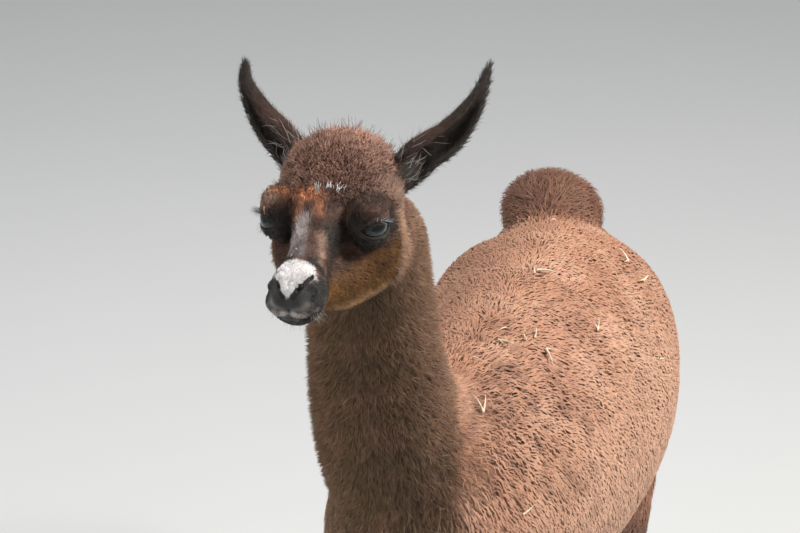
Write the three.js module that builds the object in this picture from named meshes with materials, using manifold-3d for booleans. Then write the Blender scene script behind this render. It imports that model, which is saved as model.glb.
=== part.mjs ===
// A young llama standing still with its head a little raised, life size, as closed faceted solids.
// Millimetres, +Z up. The llama faces -Y and its left side is +X. The floor is z = 0 and the origin
// is under the middle of the whole model's box.
//
// One distance field describes the outer surface of the coat: tubes swept through hand-placed
// stations, ellipsoids and tapered bones, blended together. Each sub-part is a mesh of that field,
// cut from its neighbours by planes, with a small gap between the cut faces.

import * as THREE from 'three';
import { mergeVertices } from 'three/addons/utils/BufferGeometryUtils.js';
import Module from 'manifold-3d';

const wasm = await Module();
wasm.setup();

// ---- Driving dimensions ----------------------------------------------------------------------

const GAP = 0.3;                    // air between the faces of two neighbours
const SIDES = { left: 1, right: -1 };
const TOES = { outer: 1, inner: -1 };

// Cell of the mesh of each region: finer where the form is smaller.
const CELL = { trunk: 40, neck: 31, head: 14, tail: 28, upper: 26, lower: 22, foot: 14 };

// Stations of a swept tube: x, y, z of the middle, half width across X, radius in the YZ plane.
const TRUNK = [
  [4, -195, 610, 98, 124],
  [10, -120, 626, 134, 170],
  [24, 0, 634, 160, 188],
  [28, 120, 644, 168, 186],
  [19, 220, 654, 163, 171],
  [4, 290, 656, 134, 145],
];
const TRUNK_EGG = 0.14;             // how much narrower the back is than the belly
const NECK = [
  [-6, -130, 660, 104, 136],
  [-18, -232, 740, 92, 108],
  [-22, -292, 835, 81, 90],
  [-20, -325, 935, 73, 80],
  [-20, -347, 1040, 69, 75],
];
const TAIL = [
  [-30, 335, 755, 50, 40],
  [-38, 385, 778, 72, 53],
  [-44, 430, 758, 74, 53],
  [-46, 458, 690, 58, 48],
  [-46, 463, 620, 34, 32],
];
// Legs are given for the left side; X is mirrored for the right one.
const FORE_LEG = [
  [70, -170, 600, 56, 85],
  [78, -165, 500, 50, 66],
  [80, -175, 400, 40, 46],
  [80, -185, 300, 31, 34],
  [80, -183, 200, 22, 26],
  [80, -180, 110, 21, 24],
  [80, -183, 80, 23, 25],
];
const HIND_LEG = [
  [80, 255, 640, 75, 125],
  [95, 235, 530, 62, 95],
  [98, 270, 430, 45, 60],
  [95, 322, 330, 30, 36],
  [92, 325, 220, 22, 27],
  [90, 312, 110, 21, 25],
  [90, 308, 80, 23, 26],
];
// Toe and toenail, from the ankle point (middle of the pastern over the floor), X away from the
// cleft between the two toes. A toenail station is x, y, z and radius.
const TOE = [
  [8, 2, 75, 20, 21],
  [12, -22, 28, 19, 21],
  [15, -50, 14, 16.5, 16.5],
];
const TOENAIL = [
  [15, -56, 20, 9.5],
  [15.5, -68, 15, 7.8],
  [16, -77, 9, 5.2],
  [16.2, -82, 4.5, 2.4],
];
const BLEND = { neck: 55, foreLeg: 40, hindLeg: 45, tail: 30, toe: 9, cleft: 8, head: 18 };

// Head frame: origin midway between the eyes, u forward, v to the llama's left, w up.
const HEAD = { centre: [-30, -440, 1105], yaw: -2.5, pitch: -5, roll: 3 };
const EYE = { centre: [1, 50.5, 7], radius: 17.5 };
// Stations of each ear's middle line in the head frame, for +v: u, v, w and half width.
const EARS = {
  left: [
    [-72, 40, 24, 22], [-84, 60, 38, 22.5], [-95, 79, 56, 21.5], [-110, 100, 70, 19.5],
    [-122, 118, 91, 15], [-134, 130, 114, 9.5], [-149, 136, 139, 4.5],
  ],
  right: [
    [-72, 40, 26, 23], [-84, 60, 43, 24], [-95, 79, 60, 23.5], [-110, 100, 72, 21.5],
    [-121, 117, 89, 17], [-132, 130, 108, 11.5], [-145, 135, 127, 5.5],
  ],
};
const EAR = {
  opening: [0.72, 0.68, -0.1],      // the way the hollow faces, for +v
  wall: 6.5,
  depth: 0.78,                      // depth of the cup over its half width
  wrap: 118,                        // degrees that the rim reaches round, each way
  points: 7,                        // points along the outside of one ring
  steps: 2,                         // rings between two stations
  sunk: 5,                          // how deep in the skull the ear's base plane lies
};

// Where the body is cut into sub-parts.
const NECK_CUT = { point: [0, -205, 765], normal: [0, -0.526, 0.85] };
const HEAD_CUT = { point: [-75, 0, -92], normal: [-0.55, 0, -0.83] };   // in the head frame
const TAIL_CUT = { point: [0, 405, 745], normal: [0, 0.92, 0.39] };
const LEGS = {
  front: { stations: FORE_LEG, ankleY: -183, top: 448, knee: 330, fetlock: 102, y: [-310, -98] },
  back: { stations: HIND_LEG, ankleY: 308, top: 458, knee: 345, fetlock: 102, y: [170, 430] },
};
const LEG_X = [13, 190];             // band across X that holds a whole left leg

const LOOKS = {
  wool: { color: 0x9a5a36, roughness: 0.95 },
  darkWool: { color: 0x4a2f24, roughness: 0.95 },
  face: { color: 0x3a2822, roughness: 0.9 },
  eye: { color: 0x0c0a0a, roughness: 0.08 },
  nail: { color: 0x1d1815, roughness: 0.5 },
};

// ---- Distance field --------------------------------------------------------------------------

const clamp = (value, low, high) => Math.min(Math.max(value, low), high);

function smoothUnion(a, b, width) {
  const h = clamp(0.5 + (0.5 * (b - a)) / width, 0, 1);
  return b * (1 - h) + a * h - width * h * (1 - h);
}

const smoothCut = (a, b, width) => -smoothUnion(-a, b, width);

// Points of a Catmull-Rom curve through stations of any number of values.
function throughStations(stations, steps) {
  const last = stations.length - 1;
  const beyond = (end, inner) => end.map((value, axis) => 2 * value - inner[axis]);
  const all = [beyond(stations[0], stations[1]), ...stations,
    beyond(stations[last], stations[last - 1])];
  const points = [];
  for (let i = 1; i <= last; i += 1) {
    for (let step = 0; step < steps; step += 1) {
      const t = step / steps;
      points.push(all[i].map((b, axis) => {
        const [a, , c, d] = [0, 1, 2, 3].map((k) => all[i - 1 + k][axis]);
        return 0.5 * (2 * b + (c - a) * t + (2 * a - 5 * b + 4 * c - d) * t * t
          + (3 * b - a - 3 * c + d) * t ** 3);
      }));
    }
  }
  points.push([...stations[last]]);
  return points;
}

const FAR = 90;                     // distance at which a tube no longer matters

// A tube with elliptical sections through stations x, y, z, half width, radius.
class Tube {
  constructor(stations, { egg = 0, steps = 4 } = {}) {
    this.samples = throughStations(stations, steps);
    this.egg = egg;
    const reach = Math.max(...this.samples.map((s) => Math.max(s[3], s[4]))) + FAR;
    this.low = [0, 1, 2].map((axis) => Math.min(...this.samples.map((s) => s[axis])) - reach);
    this.high = [0, 1, 2].map((axis) => Math.max(...this.samples.map((s) => s[axis])) + reach);
  }

  distance(p) {
    if ([0, 1, 2].some((axis) => p[axis] < this.low[axis] || p[axis] > this.high[axis])) {
      return FAR;
    }
    let best = Infinity;
    for (let i = 0; i < this.samples.length - 1; i += 1) {
      best = Math.min(best, this.toSegment(p, this.samples[i], this.samples[i + 1]));
    }
    return best;
  }

  toSegment(p, a, b) {
    const along = [b[0] - a[0], b[1] - a[1], b[2] - a[2]];
    const from = [p[0] - a[0], p[1] - a[1], p[2] - a[2]];
    const length2 = along[0] ** 2 + along[1] ** 2 + along[2] ** 2;
    const h = clamp((from[0] * along[0] + from[1] * along[1] + from[2] * along[2]) / length2, 0, 1);
    const halfWidth = a[3] + h * (b[3] - a[3]);
    const radius = a[4] + h * (b[4] - a[4]);
    const [dx, dy, dz] = [0, 1, 2].map((axis) => from[axis] - h * along[axis]);
    const narrow = 1 + this.egg * clamp(dz / radius, -1, 1);
    return Math.hypot((dx * radius * narrow) / halfWidth, dy, dz) - radius;
  }
}

function ellipsoid(p, centre, radii) {
  const q = p.map((value, axis) => value - centre[axis]);
  const k0 = Math.hypot(...q.map((value, axis) => value / radii[axis]));
  const k1 = Math.hypot(...q.map((value, axis) => value / radii[axis] ** 2));
  return (k0 * (k0 - 1)) / Math.max(k1, 1e-9);
}

// A tapered capsule from a to b; flat widens it across v.
function bone(p, a, b, radiusA, radiusB, flat = 1) {
  const along = b.map((value, axis) => value - a[axis]);
  const from = p.map((value, axis) => value - a[axis]);
  const dot = from[0] * along[0] + from[1] * along[1] + from[2] * along[2];
  const h = clamp(dot / (along[0] ** 2 + along[1] ** 2 + along[2] ** 2), 0, 1);
  const [du, dv, dw] = from.map((value, axis) => value - h * along[axis]);
  return Math.hypot(du, dv / flat, dw) - (radiusA + h * (radiusB - radiusA));
}

// The head without ears, in the head frame.
function headField(q) {
  const m = [q[0], Math.abs(q[1]), q[2]];
  const cranium = ellipsoid(q, [-62, 0, 22], [66, 64, 62]);
  const forehead = bone(q, [-40, 0, 30], [32, 0, -10], 48, 26);
  const bridge = bone(q, [20, 0, -10], [90, 0, -34], 26, 23);
  const muzzle = bone(q, [84, 0, -37], [96, 0, -44], 24.5, 22.5, 1.18);
  const jaw = bone(q, [-40, 0, -36], [84, 0, -54], 40, 19);
  const cheek = ellipsoid(m, [-44, 33, -32], [50, 39, 50]);
  const jowl = ellipsoid(m, [-6, 19, -53], [52, 31, 34]);
  const orbit = ellipsoid(m, [-6, 46, 6], [28, 21, 24]);
  const brow = ellipsoid(m, [-6, 49, 27], [28, 20, 12]);
  const eyeOpening = bone(m, [22, 57, 2], [-6, 73, 9], 10, 10);
  const faceHollow = ellipsoid(m, [50, 42, -16], [30, 13, 14]);
  let d = smoothUnion(cranium, forehead, 22);
  d = smoothUnion(d, bridge, 10);
  d = smoothUnion(d, muzzle, 10);
  d = smoothUnion(d, jaw, 20);
  d = smoothUnion(d, cheek, 16);
  d = smoothUnion(d, jowl, 24);
  d = smoothUnion(d, orbit, 12);
  d = smoothUnion(d, brow, 12);
  d = smoothCut(d, eyeOpening, 6);
  return smoothCut(d, faceHollow, 18);
}

const headMatrix = makeHeadMatrix();
const intoHead = headMatrix.clone().invert();

function makeHeadMatrix() {
  const [yaw, pitch, roll] = [HEAD.yaw, HEAD.pitch, HEAD.roll].map(THREE.MathUtils.degToRad);
  const forward = new THREE.Vector3(
    -Math.sin(yaw) * Math.cos(pitch), -Math.cos(yaw) * Math.cos(pitch), -Math.sin(pitch));
  const left = new THREE.Vector3(Math.cos(yaw), -Math.sin(yaw), 0);
  const up = new THREE.Vector3().crossVectors(forward, left);
  left.applyAxisAngle(forward, roll);
  up.applyAxisAngle(forward, roll);
  return new THREE.Matrix4().makeBasis(forward, left, up).setPosition(...HEAD.centre);
}

const atSide = (station, side) => [station[0] * side, ...station.slice(1)];

function toeStations(leg, side, toe) {
  const [legX] = leg.stations.at(-1);
  return TOE.map(([x, y, z, width, radius]) => (
    [legX * side + x * side * toe, leg.ankleY + y, z, width, radius]));
}

const trunkTube = new Tube(TRUNK, { egg: TRUNK_EGG });
const neckTube = new Tube(NECK);
const tailTube = new Tube(TAIL);
const legTubes = Object.entries(LEGS).flatMap(([place, leg]) => Object.values(SIDES).map((side) => ({
  blend: place === 'front' ? BLEND.foreLeg : BLEND.hindLeg,
  leg: new Tube(leg.stations.map((s) => atSide(s, side)), { steps: 2 }),
  toes: Object.values(TOES).map((toe) => new Tube(toeStations(leg, side, toe), { steps: 2 })),
})));

function bodyField(p) {
  let d = smoothUnion(trunkTube.distance(p), neckTube.distance(p), BLEND.neck);
  for (const { blend, leg, toes } of legTubes) {
    d = smoothUnion(d, leg.distance(p), blend);
    if (p[2] < 2 * FAR) {
      const toePair = smoothUnion(toes[0].distance(p), toes[1].distance(p), BLEND.cleft);
      d = smoothUnion(d, toePair, BLEND.toe);
    }
  }
  return smoothUnion(d, tailTube.distance(p), BLEND.tail);
}

const HEAD_REACH = 300;
const point = new THREE.Vector3();

// The whole outer surface of the coat, without ears.
function coatField(p) {
  const q = point.set(...p).applyMatrix4(intoHead).toArray();
  const head = Math.hypot(...q) < HEAD_REACH ? headField(q) : HEAD_REACH;
  return smoothUnion(bodyField(p), head, BLEND.head);
}

const coatFieldInHead = (q) => coatField(point.set(...q).applyMatrix4(headMatrix).toArray());

// ---- Meshing ---------------------------------------------------------------------------------

const AXES = [0, 1, 2];

function boxDistance(p, low, high) {
  return Math.max(...AXES.map((axis) => Math.max(low[axis] - p[axis], p[axis] - high[axis])));
}

// Moves a point onto the surface of a field along the field's slope.
function ontoSurface(field, p, most) {
  const reach = 0.5;
  const here = field(p);
  const slope = AXES.map((axis) => {
    const [ahead, behind] = [1, -1].map((way) => {
      const shifted = [...p];
      shifted[axis] += way * reach;
      return field(shifted);
    });
    return (ahead - behind) / (2 * reach);
  });
  const size2 = Math.max(slope[0] ** 2 + slope[1] ** 2 + slope[2] ** 2, 0.05);
  const step = clamp(here / size2, -most, most);
  return p.map((value, axis) => value - slope[axis] * step);
}

// A closed mesh of a field inside a box: one vertex in each cell that the surface crosses, and a
// quad round each grid edge that it crosses.
function netOf(field, low, high, cell) {
  const held = (p) => Math.max(field(p), boxDistance(p, low, high));
  const count = AXES.map((axis) => Math.ceil((high[axis] - low[axis]) / cell) + 3);
  const at = (i, j, k) => (i * count[1] + j) * count[2] + k;
  const place = (ijk) => ijk.map((n, axis) => low[axis] + (n - 1) * cell);
  const values = new Float64Array(count[0] * count[1] * count[2]);
  const eachPoint = (visit) => {
    for (let i = 0; i < count[0]; i += 1) {
      for (let j = 0; j < count[1]; j += 1) {
        for (let k = 0; k < count[2]; k += 1) visit([i, j, k]);
      }
    }
  };
  eachPoint((ijk) => { values[at(...ijk)] = held(place(ijk)); });

  const vertexOf = new Map();
  const positions = [];
  const vertexIn = (ijk) => {
    const key = at(...ijk);
    if (!vertexOf.has(key)) {
      vertexOf.set(key, positions.length / 3);
      const start = crossingMean(values, at, place, ijk);
      const moved = ontoSurface(held, ontoSurface(held, start, cell / 2), cell / 2);
      positions.push(...moved);
    }
    return vertexOf.get(key);
  };

  const index = [];
  eachPoint((ijk) => {
    for (const axis of AXES) {
      const next = [...ijk];
      next[axis] += 1;
      if (next[axis] >= count[axis]) continue;
      const inside = values[at(...ijk)] < 0;
      if (inside === values[at(...next)] < 0) continue;
      const [u, v] = [(axis + 1) % 3, (axis + 2) % 3];
      const ring = [[-1, -1], [0, -1], [0, 0], [-1, 0]].map(([du, dv]) => {
        const cellIndex = [...ijk];
        cellIndex[u] += du;
        cellIndex[v] += dv;
        return vertexIn(cellIndex);
      });
      const [a, b, c, d] = inside ? ring : ring.reverse();
      index.push(a, b, c, a, c, d);
    }
  });
  const geometry = new THREE.BufferGeometry();
  geometry.setAttribute('position', new THREE.Float32BufferAttribute(positions, 3));
  geometry.setIndex(index);
  return geometry;
}

// Mean of the places where the surface crosses the twelve edges of one cell.
function crossingMean(values, at, place, cellIndex) {
  const total = [0, 0, 0];
  let crossings = 0;
  for (const axis of AXES) {
    for (const [du, dv] of [[0, 0], [1, 0], [0, 1], [1, 1]]) {
      const from = [...cellIndex];
      from[(axis + 1) % 3] += du;
      from[(axis + 2) % 3] += dv;
      const to = [...from];
      to[axis] += 1;
      const [a, b] = [values[at(...from)], values[at(...to)]];
      if (a < 0 !== b < 0) {
        const [start, end] = [place(from), place(to)];
        const t = a / (a - b);
        AXES.forEach((k) => { total[k] += start[k] + t * (end[k] - start[k]); });
        crossings += 1;
      }
    }
  }
  return total.map((sum) => sum / crossings);
}

function signedVolume(positions, index) {
  const corner = (n) => new THREE.Vector3().fromArray(positions, 3 * index[n]);
  let volume = 0;
  for (let n = 0; n < index.length; n += 3) {
    volume += corner(n).dot(corner(n + 1).cross(corner(n + 2))) / 6;
  }
  return volume;
}

// A closed skin over rings that hold the same number of points, flat at both ends. The ends are
// closed by strips between the first half of the ring and the second.
function loftOf(rings) {
  const around = rings[0].length;
  const half = around / 2;
  const positions = rings.flat(2);
  const index = [];
  for (let ring = 0; ring < rings.length - 1; ring += 1) {
    for (let j = 0; j < around; j += 1) {
      const a = ring * around + j;
      const b = ring * around + ((j + 1) % around);
      index.push(a, b, b + around, a, b + around, a + around);
    }
  }
  const top = (rings.length - 1) * around;
  for (let j = 0; j < half - 1; j += 1) {
    const [a, b, c, d] = [j, j + 1, around - 2 - j, around - 1 - j];
    index.push(c, b, a, d, c, a);
    index.push(top + a, top + b, top + c, top + a, top + c, top + d);
  }
  if (signedVolume(positions, index) < 0) index.reverse();
  const geometry = new THREE.BufferGeometry();
  geometry.setAttribute('position', new THREE.Float32BufferAttribute(positions, 3));
  geometry.setIndex(index);
  return geometry;
}

// ---- Solids: joining and cutting --------------------------------------------------------------

function solidOf(geometry, matrix = new THREE.Matrix4()) {
  const bare = geometry.clone().applyMatrix4(matrix);
  bare.deleteAttribute('normal');
  bare.deleteAttribute('uv');
  const merged = mergeVertices(bare, 1e-4);
  return new wasm.Manifold(new wasm.Mesh({
    numProp: 3,
    vertProperties: new Float32Array(merged.attributes.position.array),
    triVerts: new Uint32Array(merged.index.array),
  }));
}

// Vertices closer than this become one, so that a cut leaves no sliver.
const SLIVER = 0.02;

// Leaves out faces that have collapsed, and pairs of faces that lie back to back.
function withoutSlivers(geometry) {
  const merged = mergeVertices(geometry, SLIVER);
  const faces = new Map();
  for (let n = 0; n < merged.index.count; n += 3) {
    const corners = [0, 1, 2].map((k) => merged.index.getX(n + k));
    const key = corners.toSorted((a, b) => a - b).join();
    if (new Set(corners).size < 3) continue;
    if (faces.has(key)) faces.delete(key);
    else faces.set(key, corners);
  }
  merged.setIndex([...faces.values()].flat());
  return merged;
}

function geometryOf(solid) {
  const { vertProperties, triVerts } = solid.getMesh();
  const cut = new THREE.BufferGeometry();
  cut.setAttribute('position', new THREE.Float32BufferAttribute(vertProperties, 3));
  cut.setIndex([...triVerts]);
  const geometry = withoutSlivers(cut);
  geometry.computeVertexNormals();
  return geometry;
}

function boxSolid(low, high) {
  const size = AXES.map((axis) => high[axis] - low[axis]);
  const middle = AXES.map((axis) => (high[axis] + low[axis]) / 2);
  return solidOf(new THREE.BoxGeometry(...size), new THREE.Matrix4().setPosition(...middle));
}

// All that lies past a plane on the side that its normal points to, from a distance on.
function pastPlane({ point: through, normal }, distance, reach = 2000) {
  const way = new THREE.Vector3(...normal).normalize();
  const turn = new THREE.Quaternion().setFromUnitVectors(new THREE.Vector3(0, 0, 1), way);
  const middle = new THREE.Vector3(...through).addScaledVector(way, reach / 2 + distance);
  const matrix = new THREE.Matrix4().compose(middle, turn, new THREE.Vector3(1, 1, 1));
  return solidOf(new THREE.BoxGeometry(reach, reach, reach), matrix);
}

const opposite = ({ point: through, normal }) => (
  { point: through, normal: normal.map((value) => -value) });

const planeInBody = ({ point: through, normal }) => ({
  point: new THREE.Vector3(...through).applyMatrix4(headMatrix).toArray(),
  normal: new THREE.Vector3(...normal).transformDirection(headMatrix).toArray(),
});

function meshOf(name, solid, look) {
  const mesh = new THREE.Mesh(
    geometryOf(solid), new THREE.MeshStandardMaterial({ ...look, metalness: 0 }));
  mesh.name = name;
  return mesh;
}

// ---- Sub-parts --------------------------------------------------------------------------------

function legBand(leg, side, low, high) {
  const across = side > 0 ? LEG_X : [-LEG_X[1], -LEG_X[0]];
  return [[across[0], leg.y[0], low], [across[1], leg.y[1], high]];
}

// The coat of one leg between two heights, meshed on the left side and mirrored for the right.
function legNet(leg, side, low, high, cell) {
  const field = ([x, y, z]) => coatField([x * side, y, z]);
  const geometry = netOf(field, ...legBand(leg, SIDES.left, low, high), cell);
  if (side < 0) {
    geometry.scale(-1, 1, 1);
    geometry.index.array.reverse();
  }
  return solidOf(geometry);
}

function makeTrunk() {
  let solid = solidOf(netOf(coatField, [-230, -420, 380], [230, 540, 900], CELL.trunk));
  solid = solid.intersect(pastPlane(opposite(NECK_CUT), GAP / 2));
  solid = solid.intersect(pastPlane(opposite(TAIL_CUT), GAP / 2));
  for (const leg of Object.values(LEGS)) {
    for (const side of Object.values(SIDES)) {
      solid = solid.subtract(boxSolid(...legBand(leg, side, 0, leg.top + GAP / 2)));
    }
  }
  return meshOf('trunk', solid, LOOKS.wool);
}

function makeNeck() {
  let solid = solidOf(netOf(coatField, [-170, -500, 620], [160, -60, 1180], CELL.neck));
  solid = solid.intersect(pastPlane(NECK_CUT, GAP / 2));
  solid = solid.intersect(pastPlane(planeInBody(HEAD_CUT), GAP / 2));
  return meshOf('neck', solid, LOOKS.darkWool);
}

function makeTail() {
  const solid = solidOf(netOf(coatField, [-170, 330, 540], [100, 540, 860], CELL.tail));
  return meshOf('tail', solid.intersect(pastPlane(TAIL_CUT, GAP / 2)), LOOKS.darkWool);
}

// Rings round the middle line of one ear, each a cup that is open towards EAR.opening. The cup is
// filled at the root and at the tip.
function earRings(name) {
  const side = SIDES[name];
  const line = throughStations(EARS[name].map(([u, v, w, r]) => [u, v * side, w, r]), EAR.steps);
  const middles = line.map(([u, v, w]) => new THREE.Vector3(u, v, w));
  const opening = new THREE.Vector3(EAR.opening[0], EAR.opening[1] * side, EAR.opening[2]);
  const ease = (t) => t * t * (3 - 2 * t);
  return line.map(([, , , halfWidth], i) => {
    const before = middles[Math.max(i - 1, 0)];
    const after = middles[Math.min(i + 1, middles.length - 1)];
    const along = after.clone().sub(before).normalize();
    const open = opening.clone().addScaledVector(along, -opening.dot(along)).normalize();
    const across = new THREE.Vector3().crossVectors(along, open);
    const part = i / (line.length - 1);
    const hollow = ease(clamp((part - 0.1) / 0.22, 0, 1) * clamp((0.93 - part) / 0.25, 0, 1));
    const wall = Math.min(EAR.wall, halfWidth * 0.7);
    const depth = halfWidth * EAR.depth;
    const inner = halfWidth - wall;
    const angles = Array.from({ length: EAR.points }, (_, n) => (
      THREE.MathUtils.degToRad(EAR.wrap * ((2 * n) / (EAR.points - 1) - 1))));
    const outside = angles.map((a) => [halfWidth * Math.sin(a), -depth * Math.cos(a)]);
    const inside = angles.toReversed().map((a) => {
      const cupped = -(depth - wall) * Math.cos(a);
      const filled = depth * (0.52 + 0.35 * Math.cos(a));
      return [inner * 0.98 * Math.sin(a), cupped * hollow + filled * (1 - hollow)];
    });
    return [...outside, ...inside].map(([x, y]) => (
      middles[i].clone().addScaledVector(across, x).addScaledVector(open, y).toArray()));
  });
}

// The plane at the root of an ear, a little inside the skull, facing out along the ear.
function earPlane(name) {
  const side = SIDES[name];
  const line = throughStations(EARS[name].map(([u, v, w]) => [u, v * side, w]), 12);
  const i = line.findIndex((p) => headField(p) > -EAR.sunk);
  const along = AXES.map((axis) => line[i + 6][axis] - line[i][axis]);
  return { point: line[i], normal: along };
}

function makeEar(name) {
  const solid = solidOf(loftOf(earRings(name)));
  const base = earPlane(name);
  return meshOf(`ear_${name}`, solid.intersect(pastPlane(base, GAP / 2)), LOOKS.face);
}

function makeEye(name) {
  const [u, v, w] = EYE.centre;
  const ball = new THREE.SphereGeometry(EYE.radius, 14, 10);
  const eye = meshOf(`eye_${name}`, solidOf(ball), LOOKS.eye);
  eye.position.set(u, v * SIDES[name], w);
  return eye;
}

function makeHead() {
  let solid = solidOf(netOf(coatFieldInHead, [-190, -140, -160], [150, 140, 140], CELL.head));
  solid = solid.intersect(pastPlane(opposite(HEAD_CUT), GAP / 2));
  const socket = new THREE.SphereGeometry(EYE.radius + GAP, 14, 10);
  for (const name of Object.keys(SIDES)) {
    const [u, v, w] = EYE.centre;
    solid = solid.subtract(solidOf(socket, new THREE.Matrix4().setPosition(u, v * SIDES[name], w)));
    solid = solid.subtract(pastPlane(earPlane(name), -GAP / 2, EARS[name][0][3] * 3.4));
  }
  return meshOf('head', solid, LOOKS.face);
}

function makeHeadGroup() {
  const group = new THREE.Group();
  group.position.setFromMatrixPosition(headMatrix);
  group.quaternion.setFromRotationMatrix(headMatrix);
  group.add(makeHead());
  for (const name of Object.keys(SIDES)) group.add(makeEar(name), makeEye(name));
  return group;
}

// A toenail as a tapering horn of round sections, bent down to the floor.
function toenailSolid(leg, side, toe, grow) {
  const sections = 6;
  const [legX] = leg.stations.at(-1);
  const middles = TOENAIL.map(([x, y, z]) => (
    new THREE.Vector3(legX * side + x * side * toe, leg.ankleY + y, z)));
  const rings = TOENAIL.map(([, , , radius], i) => {
    const along = middles[Math.min(i + 1, middles.length - 1)].clone()
      .sub(middles[Math.max(i - 1, 0)]).normalize();
    const across = new THREE.Vector3(1, 0, 0);
    const up = new THREE.Vector3().crossVectors(along, across).normalize();
    return Array.from({ length: sections }, (_, n) => {
      const angle = ((n + 0.5) / sections) * 2 * Math.PI;
      return middles[i].clone()
        .addScaledVector(across, (radius + grow) * Math.cos(angle))
        .addScaledVector(up, (radius + grow) * Math.sin(angle)).toArray();
    });
  });
  return solidOf(loftOf(rings));
}

function makeFoot(leg, side, name) {
  let solid = legNet(leg, side, -30, leg.fetlock + 2 * CELL.foot, CELL.foot);
  solid = solid.intersect(boxSolid(...legBand(leg, side, 0, leg.fetlock - GAP / 2)));
  const nails = [];
  for (const [toeName, toe] of Object.entries(TOES)) {
    solid = solid.subtract(toenailSolid(leg, side, toe, GAP));
    nails.push(meshOf(`nail_${name}_${toeName}`, toenailSolid(leg, side, toe, 0), LOOKS.nail));
  }
  return [meshOf(`foot_${name}`, solid, LOOKS.darkWool), ...nails];
}

function makeLegSegment(leg, side, name, low, high, cell) {
  const solid = legNet(leg, side, low - 2 * cell, high + 2 * cell, cell);
  const band = legBand(leg, side, low + GAP / 2, high - GAP / 2);
  return meshOf(name, solid.intersect(boxSolid(...band)), LOOKS.darkWool);
}

function makeLeg(place, sideName) {
  const leg = LEGS[place];
  const side = SIDES[sideName];
  const name = `${place}_${sideName}`;
  return [
    makeLegSegment(leg, side, `leg_upper_${name}`, leg.knee, leg.top, CELL.upper),
    makeLegSegment(leg, side, `leg_lower_${name}`, leg.fetlock, leg.knee, CELL.lower),
    ...makeFoot(leg, side, name),
  ];
}

// ---- The llama --------------------------------------------------------------------------------

const body = new THREE.Group();
body.add(makeTrunk(), makeNeck(), makeTail(), makeHeadGroup());
for (const place of Object.keys(LEGS)) {
  for (const sideName of Object.keys(SIDES)) body.add(...makeLeg(place, sideName));
}

// The origin goes under the middle of the box that holds the whole body.
body.updateMatrixWorld(true);
const whole = new THREE.Box3().setFromObject(body, true);
body.position.set(-(whole.min.x + whole.max.x) / 2, -(whole.min.y + whole.max.y) / 2, 0);

const group = new THREE.Group();
group.add(body);

export default group;
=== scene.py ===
"""A life-size standing llama: one skin, its fleece in tufts and locks, eyes, lashes and whiskers."""
import logging
import math
from dataclasses import dataclass, field
from enum import Enum
from typing import Callable, Sequence

import bpy
import numpy as np
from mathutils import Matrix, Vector
from mathutils.kdtree import KDTree


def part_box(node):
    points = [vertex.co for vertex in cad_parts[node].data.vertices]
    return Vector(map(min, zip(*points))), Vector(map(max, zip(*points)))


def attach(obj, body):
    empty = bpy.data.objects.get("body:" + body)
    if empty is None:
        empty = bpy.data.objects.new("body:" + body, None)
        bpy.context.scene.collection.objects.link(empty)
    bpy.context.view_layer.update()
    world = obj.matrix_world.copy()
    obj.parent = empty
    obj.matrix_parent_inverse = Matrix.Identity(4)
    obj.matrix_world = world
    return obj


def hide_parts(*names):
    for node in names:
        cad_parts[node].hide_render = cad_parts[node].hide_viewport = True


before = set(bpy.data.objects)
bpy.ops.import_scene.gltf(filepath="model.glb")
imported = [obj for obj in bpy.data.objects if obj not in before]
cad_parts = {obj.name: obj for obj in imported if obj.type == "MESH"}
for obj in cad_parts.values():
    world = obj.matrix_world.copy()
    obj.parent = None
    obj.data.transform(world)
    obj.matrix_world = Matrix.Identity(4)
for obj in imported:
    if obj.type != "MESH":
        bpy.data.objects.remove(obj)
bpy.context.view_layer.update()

SEED = 20
LOG = logging.getLogger("llama")

Array = np.ndarray
Field = Callable[[Array], Array]
Colour = tuple[float, float, float]
Point = tuple[float, float, float]
Chance = np.random.Generator
Material = bpy.types.Material
Piece = bpy.types.Object
Socket = bpy.types.NodeSocket
Tree = bpy.types.NodeTree

MM = 0.001
FAR = 0.09  # what is given as the distance well away from a part
SIDES = (1, -1)  # left, right
BODY_COLUMNS = [0, 1, 3, 4, 5, 6, 7]  # every part's distance but the head's


# ---- shape tools


def millimetres(rows: Sequence[Sequence[float]]) -> Array:
    """Turns rows of millimetres into an array in metres."""
    return np.array(rows, float) * MM


def ease(low: float, high: float, value: Array) -> Array:
    """Eases from 0 at low to 1 at high."""
    t = np.clip((value - low) / (high - low), 0.0, 1.0)
    return t * t * (3 - 2 * t)


def slit(p: Array, line: Sequence[Point], widths: Sequence[float], inward: Point, depth: float) -> Array:
    """Measures the distance to a narrow slit along a bent line.

    Args:
        p: points.
        line: places along the slit, on the surface.
        widths: half the slit's width at each place.
        inward: the way it goes into the surface.
        depth: how far it goes in.

    Returns:
        One distance for each point.
    """
    way = np.array(inward) / np.linalg.norm(inward)
    pieces = []
    for start, end, wide, narrow in zip(line, line[1:], widths, widths[1:]):
        deep = np.clip((p - np.array(start)) @ way, 0.0, depth)
        pieces.append(bone(p - deep[:, None] * way, start, end, wide, narrow))
    return np.minimum.reduce(pieces)


def unit(v: Array) -> Array:
    """Scales each row to length one."""
    return v / np.maximum(np.linalg.norm(v, axis=-1, keepdims=True), 1e-12)


def norms(rows: Array) -> Array:
    """Gives each row's length."""
    return np.linalg.norm(rows, axis=1)


def folded(q: Array) -> Array:
    """Folds the head's points onto its left half."""
    return np.stack([q[:, 0], np.abs(q[:, 1]), q[:, 2]], 1)


def nearest(q: Array, stations: Array) -> Array:
    """Finds the station nearest to each point."""
    return np.linalg.norm(q[:, None] - stations[None, :, :3], axis=2).argmin(1)


def nearness(d: Array, width: float) -> Array:
    """Weighs parts by how near they are, falling off over about the width."""
    return np.exp(-(d - d.min(1, keepdims=True)) / width)


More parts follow.
